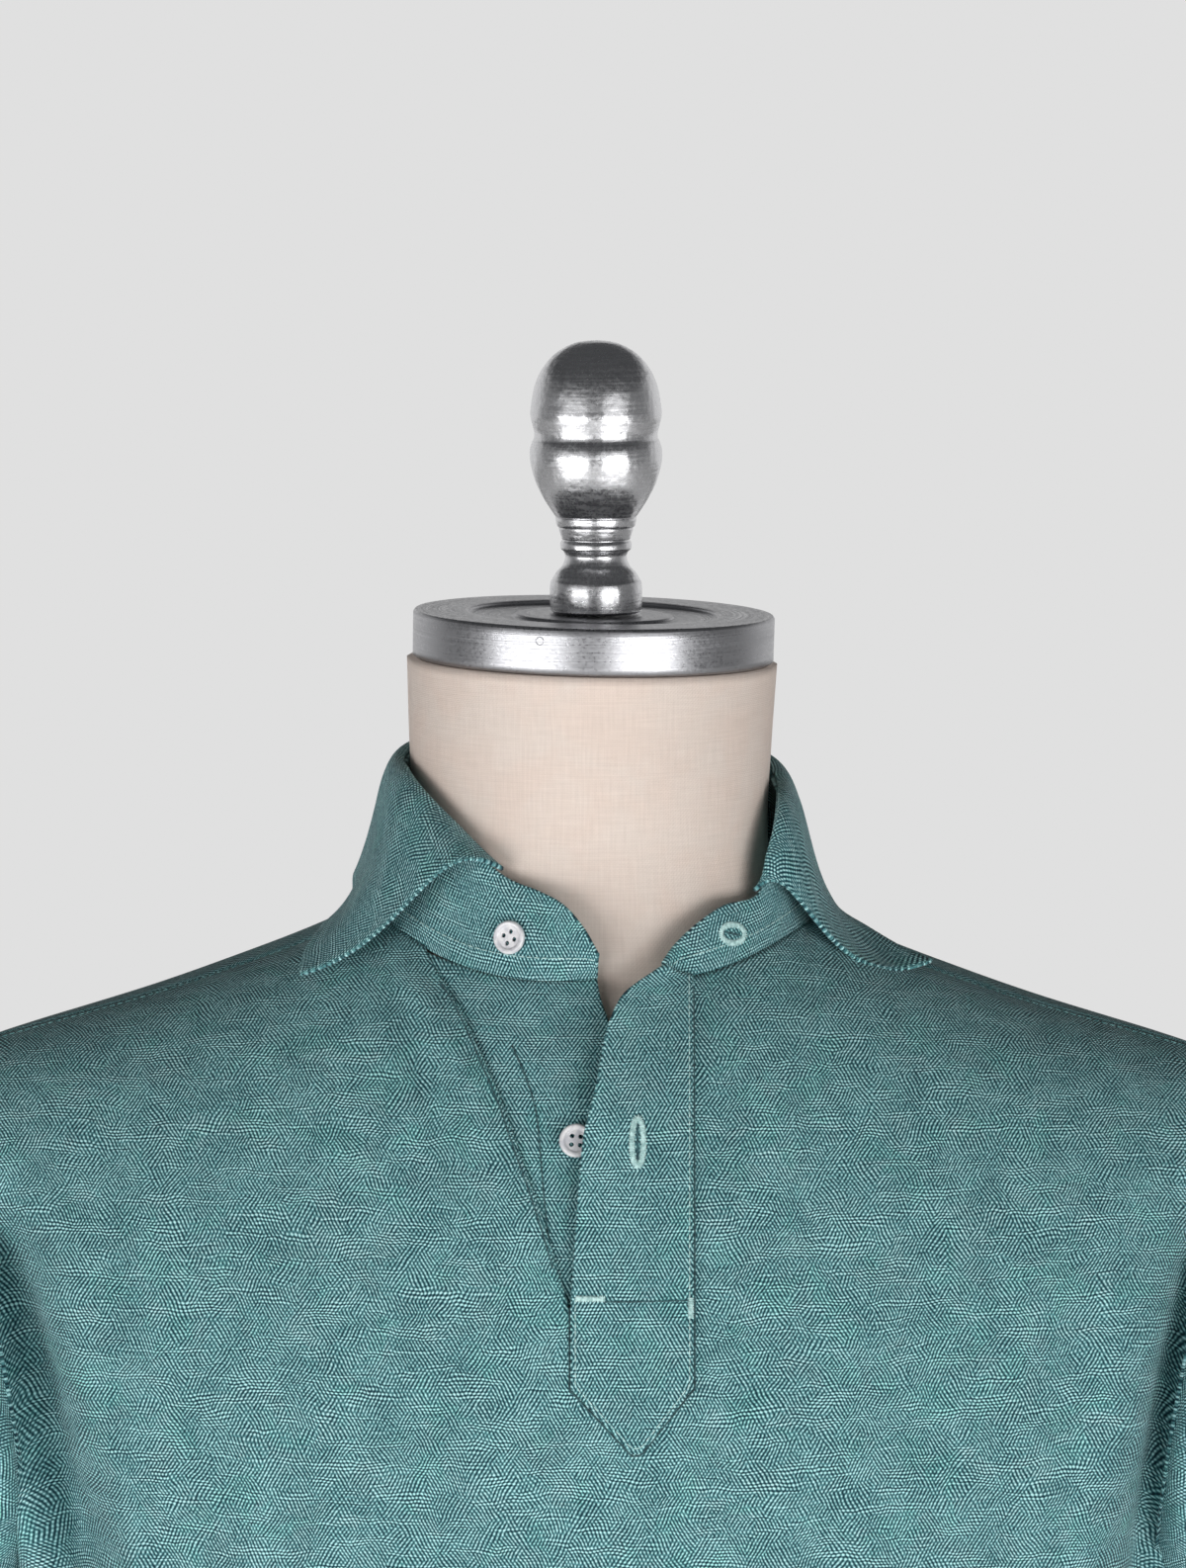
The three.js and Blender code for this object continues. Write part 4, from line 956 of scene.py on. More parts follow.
# Cloth pieces
def arc_place(grid, wrap=False):
    """U and V in mm: U along the rows by their mean length, V up each column."""
    closed = np.concatenate([grid, grid[:, :1]], axis=1) if wrap else grid
    along = np.linalg.norm(np.diff(closed, axis=1), axis=-1).mean(axis=0)
    u = np.concatenate([[0], np.cumsum(along)])
    u = u - u[-1] / 2
    rise = np.linalg.norm(np.diff(closed, axis=0), axis=-1)
    v = np.concatenate([np.zeros((1, closed.shape[1])), np.cumsum(rise, axis=0)])
    return np.stack([np.broadcast_to(u, v.shape), v], axis=-1)


def seam_square(v, grid):
    """Where a body panel's edge is square to the side and shoulder seams."""
    flat = np.zeros(grid.shape[:2], bool)
    flat[-1] = np.abs(grid[-1, :, 0]) > NECKLINE_X - SAME_PLACE
    level = v[:, 0] <= 0
    flat[level, 0] = flat[level, -1] = True
    return flat


# The slit's left side lies this far right of the button band's seam, and its right side under the upper band.
SLIT_PAST_SEAM = 0.5
SLIT_RIGHT_X = BAND_SEAM_X - 3
# Columns of the front left of its slit, across it and right of it
FRONT_LEFT_STEPS, SLIT_STEPS, FRONT_RIGHT_STEPS = 88, 16, 84


def slit_left_x(v):
    """Where the front's slit starts, left of its middle, on rows of constant v."""

    def in_slit(x):
        z = smooth_body(FRONT, angle_for_x(x), v)[..., 2]
        return x > seam_x(z) + SLIT_PAST_SEAM

    return halved(np.full(v.shape, -NECKLINE_X + 0.5), np.full(v.shape, 1.0), in_slit, 36)


def flat_place(grid):
    """U and V in mm of a piece that lies on the front: U across it and V up its middle column."""
    middle = grid[:, grid.shape[1] // 2]
    rise = np.concatenate([[0], np.cumsum(np.linalg.norm(np.diff(middle, axis=0), axis=-1))])
    z = grid[..., 2]
    up = np.interp(z, middle[:, 2], rise) + np.maximum(0, z - middle[-1, 2])
    return np.stack([grid[..., 0], up], axis=-1)


def panel_rows(below, above):
    """Shares of a column for the rows below and above the underarm, with a narrow row at both ends."""
    return np.concatenate([[-1], np.linspace(-0.99, 0, below), np.linspace(0, 0.985, above)[1:], [1]])


def front_panel():
    """The front, with its slit left open from the neckline down to the slit's foot."""
    v = panel_rows(58, 104)
    foot = float(v_for_z(angle_for_x(np.array(10.0)), SLIT_FOOT_Z - SEAM_GAP))
    foot_row = int(np.abs(v - foot).argmin())
    v[foot_row] = foot
    left = angle_for_x(slit_left_x(v))[:, None]
    right = float(angle_for_x(np.array(float(SLIT_RIGHT_X))))
    angles = np.concatenate(
        [
            mix(-90, left, edge_steps(FRONT_LEFT_STEPS, 0.005)[None, :]),
            mix(left, right, edge_steps(SLIT_STEPS, 0.02)[None, 1:]),
            mix(right, 90, edge_steps(FRONT_RIGHT_STEPS, 0.005)[None, 1:]) + 0 * left,
        ],
        axis=1,
    )
    rows = v[:, None] + 0 * angles
    outer = body_surface(FRONT, angles, rows)
    keep = np.ones((len(v) - 1, angles.shape[1] - 1), bool)
    keep[foot_row:, FRONT_LEFT_STEPS : FRONT_LEFT_STEPS + SLIT_STEPS] = False
    place = cloth_place(FRONT, angles, rows)
    flat = seam_square(rows, outer)
    return cloth_wall("Front", outer, BODY_CLOTH, place, body_knit, keep=keep, flat_seam=flat)


def back_panel():
    v = panel_rows(50, 76)[:, None]
    angles = mix(90, -90, edge_steps(132, 0.004))[None, :] + 0 * v
    rows = v + 0 * angles
    outer = body_surface(BACK, angles, rows)
    place = cloth_place(BACK, angles, rows)
    place[..., 0] *= -1
    flat = seam_square(rows, outer)
    return cloth_wall("Back", outer, BODY_CLOTH, place, body_knit, flat_seam=flat)


def armhole_point(u, turn):
    """The body's edge at the armhole: up the front to the shoulder's tip and down the back."""
    v = np.where(u < 0.5, u * 2, 2 - u * 2)
    front = smooth_body(FRONT, turn * 90.0 + 0 * v, v)
    back = smooth_body(BACK, turn * 90.0 + 0 * v, v)
    front[..., 1] -= SEAM_GAP / 2
    back[..., 1] += SEAM_GAP / 2
    return np.where((u < 0.5)[..., None], front, back)


def sleeve_point(u, w, turn):
    """A point of the sleeve, u round it and w from the armhole to the cuff."""
    u, w = np.broadcast_arrays(u, w)
    start = armhole_point(u, turn)
    start[..., 0] += turn * SLEEVE_GAP
    angle = 180 - 360 * u
    row = read_table(SLEEVE_HANDLES, "angle", np.abs(angle), even=True)
    facing = np.where(u < 0.5, -1, 1)
    axis = np.array([SLEEVE_AXIS[0] * turn, 0, SLEEVE_AXIS[2]])
    across = np.array([-axis[2] * turn, 0, axis[0] * turn])
    round_it = np.radians(angle)
    cuff = np.array([turn * CUFF_CENTRE[0], CUFF_CENTRE[1], CUFF_CENTRE[2]])
    cuff = cuff + CUFF_HALF_THICK * np.cos(round_it)[..., None] * across
    cuff = cuff + stack(0, -CUFF_HALF_FLAT * np.sin(round_it), 0)
    first = start + stack(turn * row["out"], facing * row["forward"], -row["down"])
    second = cuff - row["back_off"][..., None] * axis
    return bezier(np.stack([start, first, second, cuff], axis=-2), w)


# How far the sleeve swells forward beside the armhole, with the place of its middle round and along
FRONT_SWELL, SWELL_U, SWELL_W, SWELL_WIDTH = 10, 0.3, 0.14, 0.12
SLANT_FOLD, UNDER_FOLD = 0.7, 1.3


def sleeve_relief(u, w):
    """Soft folds of a hollow sleeve, dying away at the armhole and the cuff."""
    held = smooth(w / 0.2) * smooth((1 - w) / 0.25)
    under = np.exp(-(((u + 0.5) % 1 - 0.5) / 0.16) ** 2)
    slant = np.sin(2 * math.pi * (5.2 * u + 1.1 * w))
    swell = np.exp(-(((u - SWELL_U) / SWELL_WIDTH) ** 2) - ((w - SWELL_W) / SWELL_WIDTH) ** 2)
    swell = FRONT_SWELL * swell * smooth(w / 0.06)
    crossing = np.sin(2 * math.pi * (3.1 * w + 2.0 * u))
    return swell + held * (SLANT_FOLD * slant + UNDER_FOLD * under * crossing)


def sleeve(name, turn):
    u = np.arange(112) / 112
    w = 1 - edge_steps(66, 0.004)[:, None]
    outer = sleeve_point(u[None, :], w, turn)
    if turn < 0:
        u, outer = u[::-1], outer[:, ::-1]
    outer = outer + grid_normals(outer, True) * sleeve_relief(u[None, :], w)[..., None]
    return cloth_wall(name, outer, BODY_CLOTH, arc_place(outer, True), body_knit, wrap=True, bulge=0.3)


def neckline_point(angle):
    """The body's neckline at an angle from its middle front."""
    x = np.clip(NECKLINE_X * np.sin(np.radians(angle)), -NECKLINE_X, NECKLINE_X)
    column = angle_for_x(x)
    front = smooth_body(FRONT, column, 1.0)
    back = smooth_body(BACK, column, 1.0)
    return np.where((np.cos(np.radians(angle)) >= 0)[..., None], front, back)


# How far the stand's foot is tucked in and down behind the neckline's edge, and how far it bows outwards
STAND_TUCK_IN, STAND_TUCK_DOWN = 0.15, 0.8
STAND_BOW = 0.5
STAND_STEPS, STATION_STEPS = 14, 9


def stand_point(station, t):
    """A point of the stand, from the neckline up to its top edge."""
    station, t = np.broadcast_arrays(np.asarray(station, float), np.asarray(t, float))
    row = read_table(STAND, "station", station)
    top = stack(row["x"], row["y"], row["z"])
    seam = neckline_point(row["seam_angle"])
    inward = seam * [1, 1, 0]
    foot = seam - STAND_TUCK_IN * unit(inward)
    foot[..., 2] -= STAND_TUCK_DOWN
    return mix(foot, top, t[..., None])


def collar_stand():
    last = STAND["station"][-1]
    stations = np.linspace(last, 0, int(last) * STATION_STEPS + 1)
    rising = edge_steps(STAND_STEPS)
    outer = stand_point(stations[None, :], rising[:, None])
    bow = STAND_BOW * np.sin(math.pi * rising)[:, None, None]
    outer = outer + bow * grid_normals(outer)
    return cloth_wall("CollarStand", outer, COLLAR_CLOTH, arc_place(outer), collar_knit, bulge=0.25)


# How much fuller than its table the leaf rolls over, away from its two fronts
LEAF_ROLL = 3.2
LEAF_FIRST, LEAF_LAST = LEAF["station"][0], LEAF["station"][-1]
LEAF_STATION_STEPS = 11


def leaf_point(station, w):
    """A point of the leaf, from the stand's fold over to its outer edge."""
    station, w = np.broadcast_arrays(np.asarray(station, float), np.asarray(w, float))
    row = read_table(LEAF, "station", station)
    top = stand_point(station, 1.0)
    edge = stack(row["x"], row["y"], row["z"])
    outward = unit((edge - top) * [1, 1, 0])
    away = unit(top * [1, 1, 0])
    fuller = LEAF_ROLL * smooth((station - LEAF_FIRST) / 2) * smooth((LEAF_LAST - station) / 2)
    roll_out = row["out"] + fuller
    reach = (outward + away) / 2 * roll_out[..., None]
    reach[..., 2] = row["up"]
    along = stand_point(station - 0.2, 1.0) - stand_point(station + 0.2, 1.0)
    above = unit(np.cross(reach, along))
    above = np.where(above[..., 2:] < 0, -above, above)
    fold = top + FOLD_CLEARANCE * above
    roll = fold + reach
    drop = edge - outward * row["in"][..., None]
    drop[..., 2] += row["rise"]
    return bezier(np.stack([fold, roll, drop, edge], axis=-2), w)


def collar_leaf():
    count = int(LEAF_LAST - LEAF_FIRST) * LEAF_STATION_STEPS + 1
    stations = np.linspace(LEAF_LAST, LEAF_FIRST, count)
    outer = leaf_point(stations[None, :], 1 - edge_steps(36, 0.02)[:, None])
    return cloth_wall("CollarLeaf", outer, COLLAR_CLOTH, arc_place(outer), collar_knit, bulge=0.45)


# How far the button band runs on behind the front's edge, and how far its top stays under the neckline
BAND_TUCK_X, BAND_TUCK_DEPTH, BAND_TUCK_TOP = 2.2, 1.6, 0.4
BAND_TOP_DROP = 0.3
# From this height up, over this length, the button band's edge draws in from BUTTON_BAND_EDGE_X to this x.
DRAW_IN_Z, DRAW_IN_OVER, BUTTON_BAND_TOP_X = 735, 40, 1.3


def button_band():
    """The under band, from the slit's foot to the neckline, tucked behind the front at its seam."""
    s, t = edge_steps(60, 0.01)[:, None], edge_steps(30)[None, :]
    top_z = neckline_z(mix(seam_x(779), BUTTON_BAND_TOP_X, t)) - BAND_TOP_DROP
    z = mix(SLIT_FOOT_Z + 0.5, top_z, s)
    edge = mix(BUTTON_BAND_EDGE_X, BUTTON_BAND_TOP_X, smooth((z - DRAW_IN_Z) / DRAW_IN_OVER))
    behind = mix(BAND_TUCK_TOP, BAND_TUCK_DEPTH, smooth((top_z - z) / 14))
    outer = front_at(mix(seam_x(z) - BAND_TUCK_X, edge, t), z, -behind)
    return cloth_wall("ButtonBand", outer, BODY_CLOTH, flat_place(outer), band_knit, bulge=0.15)


# Half width of the buttonhole band's blunt tip, and how sharply its lift grows towards the free edge
BAND_TIP_HALF = 1.5
BAND_LIFT_POWER = 1.6


def band_lift(z, across):
    """How far the buttonhole band stands off, a share across it from its stitched edge."""
    return read_table(BAND_LIFT, "z", z)["lift"] * across**BAND_LIFT_POWER


def band_point(s, t):
    """The buttonhole band: s up it from its point, t from its stitched edge to its free edge."""
    s, t = np.broadcast_arrays(np.asarray(s, float), np.asarray(t, float))
    share = s / BAND_POINT_SHARE
    top_z = neckline_z(mix(BAND_SEAM_X, free_edge_x(776), t)) - BAND_TOP_DROP
    in_point = s < BAND_POINT_SHARE
    upper = (s - BAND_POINT_SHARE) / (1 - BAND_POINT_SHARE)
    z = np.where(in_point, mix(BAND_TIP_Z, BAND_SIDE_Z, share), mix(BAND_SIDE_Z, top_z, upper))
    point_left = mix(BAND_TIP_X - BAND_TIP_HALF, free_edge_x(SLIT_FOOT_Z), share)
    left = np.where(in_point, point_left, free_edge_x(z))
    right = np.where(in_point, mix(BAND_TIP_X + BAND_TIP_HALF, BAND_SEAM_X, share), BAND_SEAM_X)
    return front_at(mix(right, left, t), z, BAND_OFFSET + band_lift(z, t))


def buttonhole_band():
    point, upper = np.linspace(0.004, BAND_POINT_SHARE, 20), np.linspace(BAND_POINT_SHARE, 0.995, 92)
    s = np.concatenate([[0], point, upper[1:], [1]])
    outer = band_point(s[:, None], 1 - edge_steps(28, 0.03)[None, :])
    return cloth_wall("ButtonholeBand", outer, BODY_CLOTH, flat_place(outer), band_knit, bulge=0.35)


def oval(x, z, half_width, half_height, tilt=0.0, count=40):
    """An oval's x and z, turned by tilt degrees."""
    turn = np.linspace(0, 2 * math.pi, count, endpoint=False)
    a, b = half_width * np.cos(turn), half_height * np.sin(turn)
    c, s = math.cos(math.radians(tilt)), math.sin(math.radians(tilt))
    return x + c * a - s * b, z + s * a + c * b


# Buttonholes: x, z, half width, half height and tilt of each hole and of its worked ring
BAND_HOLE = (14.2, 722, 0.7, 6.2, 0)
BAND_HOLE_RING = (14.2, 722, 1.9, 7.5, 0)
STAND_HOLE = (46, 785.5, 2.9, 1.8, -18)
STAND_HOLE_RING = (46, 785.5, 4.1, 2.95, -18)


# The cutter runs between these two depths, which hold the whole front wall.
CUTTER_FRONT_Y, CUTTER_BACK_Y = -180, -20


def cut_oval(obj, *sizes):
    """Cuts an oval hole through a wall that faces forwards."""
    count = 24
    x, z = oval(*sizes, count=count)
    points = np.concatenate([stack(x, CUTTER_FRONT_Y, z), stack(x, CUTTER_BACK_Y, z)])
    faces = [[i, (i + 1) % count, count + (i + 1) % count, count + i] for i in range(count)]
    faces += [list(range(count))[::-1], list(range(count, 2 * count))]
    cutter = make_object("oval_cutter", points, faces, obj.data.materials[0], np.zeros((6 * count, 2)))
    cut = obj.modifiers.new("oval", "BOOLEAN")
    cut.operation, cut.object, cut.solver = "DIFFERENCE", cutter, "EXACT"
    made_plain(obj)
    bpy.data.objects.remove(cutter)


def made_plain(obj):
    """Keeps what an object's modifiers make as its own mesh."""
    evaluated = obj.evaluated_get(bpy.context.evaluated_depsgraph_get())
    mesh = bpy.data.meshes.new_from_object(evaluated)
    obj.modifiers.clear()
    old, obj.data = obj.data, mesh
    mesh.name = old.name
    bpy.data.meshes.remove(old)


# The tailor's form
def form_point(side, angle, v):
    """The form's canvas, inset from the shirt by more at the sides and the waist."""
    p = smooth_body(side, angle, v, 0)
    angle, v = np.broadcast_arrays(np.asarray(angle, float), np.asarray(v, float))
    side_share = np.sin(np.radians(np.abs(angle))) ** 4
    row = read_table(TORSO, "z", np.minimum(p[..., 2], UNDERARM_Z))
    low = mix(row["ease_front"], row["ease_side"], side_share)
    ease = np.where(v <= 0, low, mix(low, FORM_INSET_TOP, smooth(v / 0.8)))
    # The form gives way under each trough of the cloth.
    deep = np.maximum(0, -fold_depth(side["folds"], angle, p[..., 2]))
    ease = ease + deep * smooth((p[..., 2] - FORM_SMOOTH_Z) / 120)
    trough = np.maximum(0, -front_relief(p[..., 0], p[..., 2])) if side is FRONT else 0
    on_seam = (v == 1) & (np.abs(p[..., 0]) >= NECKLINE_X - SAME_PLACE)
    x = p[..., 0].copy()
    narrowed = x * (1 - FORM_EDGE_INSET / SHOULDER_TIP_X * np.minimum(1, v * 4) * (x / SHOULDER_TIP_X) ** 2)
    p[..., 0] = np.where(v > 0, narrowed, x)
    n = normal_at(side, angle, v, 0)
    n[..., 2] = np.where(v <= 0, 0, n[..., 2])
    inset = p - unit(n) * ease[..., None]
    # Beside the armholes it stays well behind the cloth.
    beside = np.sin(np.radians(np.abs(angle))) ** 8 * smooth(v / 0.12) * smooth((0.95 - v) / 0.25)
    inset[..., 1] -= side["facing"] * (FORM_SIDE_ROOM * beside + trough)
    inset[..., 1] = np.where((np.abs(angle) > 89.9) & (v <= 0), 0, inset[..., 1])
    return np.where(on_seam[..., None], p - [0, 0, FORM_INSET_SEAM], inset)


# Angle where each armhole plate starts, and its steps from there to the form's side
FORM_PLATE_ANGLE = 74
PLATE_STEPS = 6
# The rise at which the neck takes its own shape, and the radius in metres that the canvas is wrapped at
NECK_BLEND_RISE = 0.07
CANVAS_RADIUS = 0.06


def form_body():
    """Body, neck and armhole plates in one smooth loft."""
    levels = np.concatenate([np.linspace(-1, 0, 40), np.linspace(0, 1, 70)[1:]])[:, None]
    neck_edge = float(angle_for_x(np.array(float(NECKLINE_X))))
    half = np.concatenate([np.linspace(0, neck_edge, 22), np.linspace(neck_edge, FORM_PLATE_ANGLE, 36)[1:]])
    angles = np.concatenate([-half[::-1][:-1], half])[None, :]

    def closed(side):
        middle = form_point(side, angles + 0 * levels, levels + 0 * angles)
        ends = form_point(side, np.array([[-90.0, 90.0]]) + 0 * levels, levels + np.zeros((1, 2)))
        shares = np.linspace(0, 1, PLATE_STEPS + 1)[None, :-1, None]
        first = mix(ends[:, :1], middle[:, :1], shares)
        last = mix(ends[:, 1:], middle[:, -1:], shares)[:, ::-1]
        return np.concatenate([first, middle, last], axis=1)

    ring_rows = np.concatenate([closed(FRONT), closed(BACK)[:, ::-1]], axis=1)
    count = ring_rows.shape[1]
    in_neck = np.abs(angles[0]) <= neck_edge + SAME_PLACE
    columns = angles.shape[1]
    order = np.concatenate([PLATE_STEPS + np.arange(columns), columns + 3 * PLATE_STEPS + np.arange(columns)])
    loop = order[np.concatenate([in_neck, in_neck[::-1]])]
    necks = form_neck(ring_rows[-1][loop])
    points = np.concatenate([ring_rows.reshape(-1, 3), necks.reshape(-1, 3), [[0, 0, 0], [0, 0, NECK_TOP_Z]]])
    body = np.arange(len(ring_rows) * count).reshape(-1, count)
    neck = body.size + np.arange(len(necks) * len(loop)).reshape(-1, len(loop))
    foot_hub, top_hub = len(points) - 2, len(points) - 1
    faces = lofted(body) + lofted([body[-1][loop], *neck])
    faces += [[k, j, foot_hub] for j, k in zip(body[0].tolist(), np.roll(body[0], -1).tolist())]
    faces += [[j, k, top_hub] for j, k in zip(neck[-1].tolist(), np.roll(neck[-1], -1).tolist())]
    obj = make_object("FormBody", points, faces, form_canvas)
    merge_close(obj)
    wrap_canvas(obj)
    return obj


def form_neck(start):
    """Rings of the form's neck, from the loop that the body leaves open up to the cap."""
    rises = np.concatenate([[NECK_BLEND_RISE / 2, NECK_BLEND_RISE], np.linspace(0.11, 1, 30)])
    dy = start[:, 1] - SHOULDER_SEAM_Y
    depth = np.where(dy < 0, NECKLINE_FRONT + 2, NECKLINE_BACK)
    bearing = np.arctan2(start[:, 0] / NECKLINE_X, -dy / depth)
    necks = []
    for rise in rises:
        row = read_table(FORM_NECK, "rise", max(rise, NECK_BLEND_RISE))
        reach = np.where(dy < 0, row["front"], row["back"])
        centre = mix(SHOULDER_SEAM_Y, 0, smooth(rise))
        x = row["shift_x"] + row["half_width"] * np.sin(bearing)
        z = mix(start[:, 2], NECK_TOP_Z - CAP_TILT * x, rise)
        ring = stack(x, centre - reach * np.cos(bearing), z)
        necks.append(mix(start, ring, min(1, rise / NECK_BLEND_RISE)))
    return np.array(necks)


def wrap_canvas(obj):
    """Lays the canvas round the form: its bearing across and its height up."""
    layer = obj.data.uv_layers.new(name="cloth")
    for polygon in obj.data.polygons:
        corners = [obj.data.vertices[i].co for i in polygon.vertices]
        turns = np.array([math.atan2(c.x, -c.y) for c in corners])
        if np.ptp(turns) > math.pi:
            turns = np.where(turns < 0, turns + 2 * math.pi, turns)
        for loop_index, around, corner in zip(polygon.loop_indices, turns, corners):
            layer.data[loop_index].uv = (around * CANVAS_RADIUS, corner.z)


def merge_close(obj, distance=2e-5):
    """Merges points that meet, drops faces without area and turns all faces outwards."""
    mesh = bmesh.new()
    mesh.from_mesh(obj.data)
    bmesh.ops.remove_doubles(mesh, verts=mesh.verts, dist=distance)
    bmesh.ops.dissolve_degenerate(mesh, edges=mesh.edges, dist=1e-6)
    bmesh.ops.recalc_face_normals(mesh, faces=mesh.faces)
    mesh.to_mesh(obj.data)
    mesh.free()


# Stitching. Sizes are in metres, a turn is in radians and unevenness is a share of the stitch.
STITCH_SIZES = ("Pitch", "Stitch Length", "Thread Radius", "Turn", "Unevenness")
STITCH_SEED = 5


def stitch_tree():
    """Geometry nodes that lay short threads along a path. The path's points carry the cloth's normal."""
    tree = bpy.data.node_groups.new("laid_stitches", "GeometryNodeTree")
    tree.interface.new_socket("Geometry", in_out="INPUT", socket_type="NodeSocketGeometry")
    for label in STITCH_SIZES:
        tree.interface.new_socket(label, in_out="INPUT", socket_type="NodeSocketFloat")
    tree.interface.new_socket("Thread", in_out="INPUT", socket_type="NodeSocketMaterial")
    tree.interface.new_socket("Geometry", in_out="OUTPUT", socket_type="NodeSocketGeometry")
    given = tree.nodes.new("NodeGroupInput").outputs
    result = tree.nodes.new("NodeGroupOutput").inputs
    path = put(tree, "GeometryNodeMeshToCurve", None, {"Mesh": given["Geometry"]}).outputs[0]
    spacing = {"Curve": path, "Length": given["Pitch"]}
    spaced = put(tree, "GeometryNodeResampleCurve", {"mode": "LENGTH"}, spacing)
    vector = {"data_type": "FLOAT_VECTOR"}
    lie = put(tree, "GeometryNodeInputNamedAttribute", vector, {"Name": "lie"}).outputs[0]
    tangent = put(tree, "GeometryNodeInputTangent").outputs[0]
    facing = put(tree, "FunctionNodeAlignRotationToVector", {"axis": "Z"}, {"Vector": lie}).outputs[0]
    aimed = put(
        tree, "FunctionNodeAlignRotationToVector", {"axis": "X", "pivot_axis": "Z"},
        {"Rotation": facing, "Vector": tangent},
    ).outputs[0]
    chance = {"Min": -1.0, "Max": 1.0, "Seed": STITCH_SEED}
    jitter = put(tree, "FunctionNodeRandomValue", {"data_type": "FLOAT"}, chance)
    wander = maths(tree, "MULTIPLY", jitter.outputs[1], given["Unevenness"])
    angle = maths(tree, "ADD", wander, given["Turn"])
    about = {"Axis": (0, 0, 1), "Angle": angle}
    spin = put(tree, "FunctionNodeAxisAngleToRotation", None, about).outputs[0]
    spun = {"Rotation": aimed, "Rotate By": spin}
    turned = put(tree, "FunctionNodeRotateRotation", {"rotation_space": "LOCAL"}, spun).outputs[0]
    grain = {"Segments": 6, "Rings": 5, "Radius": 1.0}
    ball = put(tree, "GeometryNodeMeshUVSphere", None, grain).outputs["Mesh"]
    half = maths(tree, "MULTIPLY", given["Stitch Length"], 0.5)
    half = maths(tree, "MULTIPLY", half, maths(tree, "MULTIPLY_ADD", wander, 0.7, 1.0))
    size = put(
        tree, "ShaderNodeCombineXYZ", None, {0: half, 1: given["Thread Radius"], 2: given["Thread Radius"]}
    ).outputs[0]
    laid = put(
        tree, "GeometryNodeInstanceOnPoints", None,
        {"Points": spaced.outputs[0], "Instance": ball, "Rotation": turned, "Scale": size},
    ).outputs[0]
    real = put(tree, "GeometryNodeRealizeInstances", None, {"Geometry": laid}).outputs[0]
    even = put(tree, "GeometryNodeSetShadeSmooth", None, {"Geometry": real}).outputs[0]
    threaded = {"Geometry": even, "Material": given["Thread"]}
    done = put(tree, "GeometryNodeSetMaterial", None, threaded).outputs[0]
    tree.links.new(done, result["Geometry"])
    return tree


STITCHES = stitch_tree()
TOPSTITCH = dict(zip(STITCH_SIZES, (0.0027, 0.0025, 0.00021, 0.0, 0.08)))
# Sizes of the placket's dark seam lines, which are partly painted shade and painted shadow
SEAM_AND_SHADE_STITCH = dict(zip(STITCH_SIZES, (0.0017, 0.0023, 0.00036, 0.0, 0.06)))
# Sizes of the dark thread laid in the buttonhole slits as painted shade
SLIT_SHADE_STITCH = dict(zip(STITCH_SIZES, (0.0008, 0.0022, 0.0006, 0.0, 0.0)))
SATIN = dict(zip(STITCH_SIZES, (0.00055, 0.0025, 0.00034, math.pi / 2, 0.12)))
WHIPPED = dict(zip(STITCH_SIZES, (0.0008, 0.0015, 0.00026, 0.7, 0.1)))


def sewn(name, lines, sizes, thread):
    """One piece of stitches along lines. Each line is (points in mm, normals, closed)."""
    points, normals, edges = [], [], []
    for line, normal, closed in lines:
        first = len(points)
        points += list(np.asarray(line) * MM)
        normals += list(np.asarray(normal))
        edges += [(first + i, first + i + 1) for i in range(len(line) - 1)]
        if closed:
            edges.append((len(points) - 1, first))
    mesh = bpy.data.meshes.new(name)
    mesh.from_pydata([tuple(p) for p in points], edges, [])
    mesh.attributes.new("lie", "FLOAT_VECTOR", "POINT").data.foreach_set("vector", np.array(normals).ravel())
    obj = bpy.data.objects.new(name, mesh)
    scene.collection.objects.link(obj)
    layer = obj.modifiers.new("stitches", "NODES")
    layer.node_group = STITCHES
    for item in STITCHES.interface.items_tree:
        if item.in_out == "INPUT" and item.name in sizes:
            layer[item.identifier] = sizes[item.name]
        elif item.in_out == "INPUT" and item.name == "Thread":
            layer[item.identifier] = thread
    made_plain(obj)
    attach(obj, "root")
    return obj


def line_on(surface, a, b, steps, facing, out=0.1, closed=False):
    """A line on a surface of two shares, moved a little out of the cloth, with its normals."""
    a, b = np.broadcast_arrays(np.asarray(a, float), np.asarray(b, float))
    points = surface(a, b)
    normals = facing * unit(np.cross(surface(a + steps[0], b) - points, surface(a, b + steps[1]) - points))
    return points + out * normals, normals, closed


def on_band(x, z):
    """The buttonhole band's outer side at an x and a height."""
    across = np.clip((BAND_SEAM_X - x) / (BAND_SEAM_X - free_edge_x(z)), 0, 1)
    return front_at(x, z, BAND_OFFSET + band_lift(z, across))


def on_stand(x, z):
    """The stand's outer side right of the opening at an x and a height, by Newton's steps."""
    x, z = np.broadcast_arrays(np.asarray(x, float), np.asarray(z, float))
    station, t = np.full(x.shape, 19.0), np.full(x.shape, 0.5)
    for _ in range(12):
        here = stand_point(station, t)
        by_station = (stand_point(station + 0.02, t) - here) / 0.02
        by_t = (stand_point(station, t + 0.02) - here) / 0.02
        dx, dz = x - here[..., 0], z - here[..., 2]
        spread = by_station[..., 0] * by_t[..., 2] - by_station[..., 2] * by_t[..., 0]
        on = np.clip((dx * by_t[..., 2] - dz * by_t[..., 0]) / spread, -1, 1)
        up = np.clip((dz * by_station[..., 0] - dx * by_station[..., 2]) / spread, -0.5, 0.5)
        station = np.clip(station + on, 16, 22)
        t = np.clip(t + up, -0.1, 1.1)
    return stand_point(station, t)


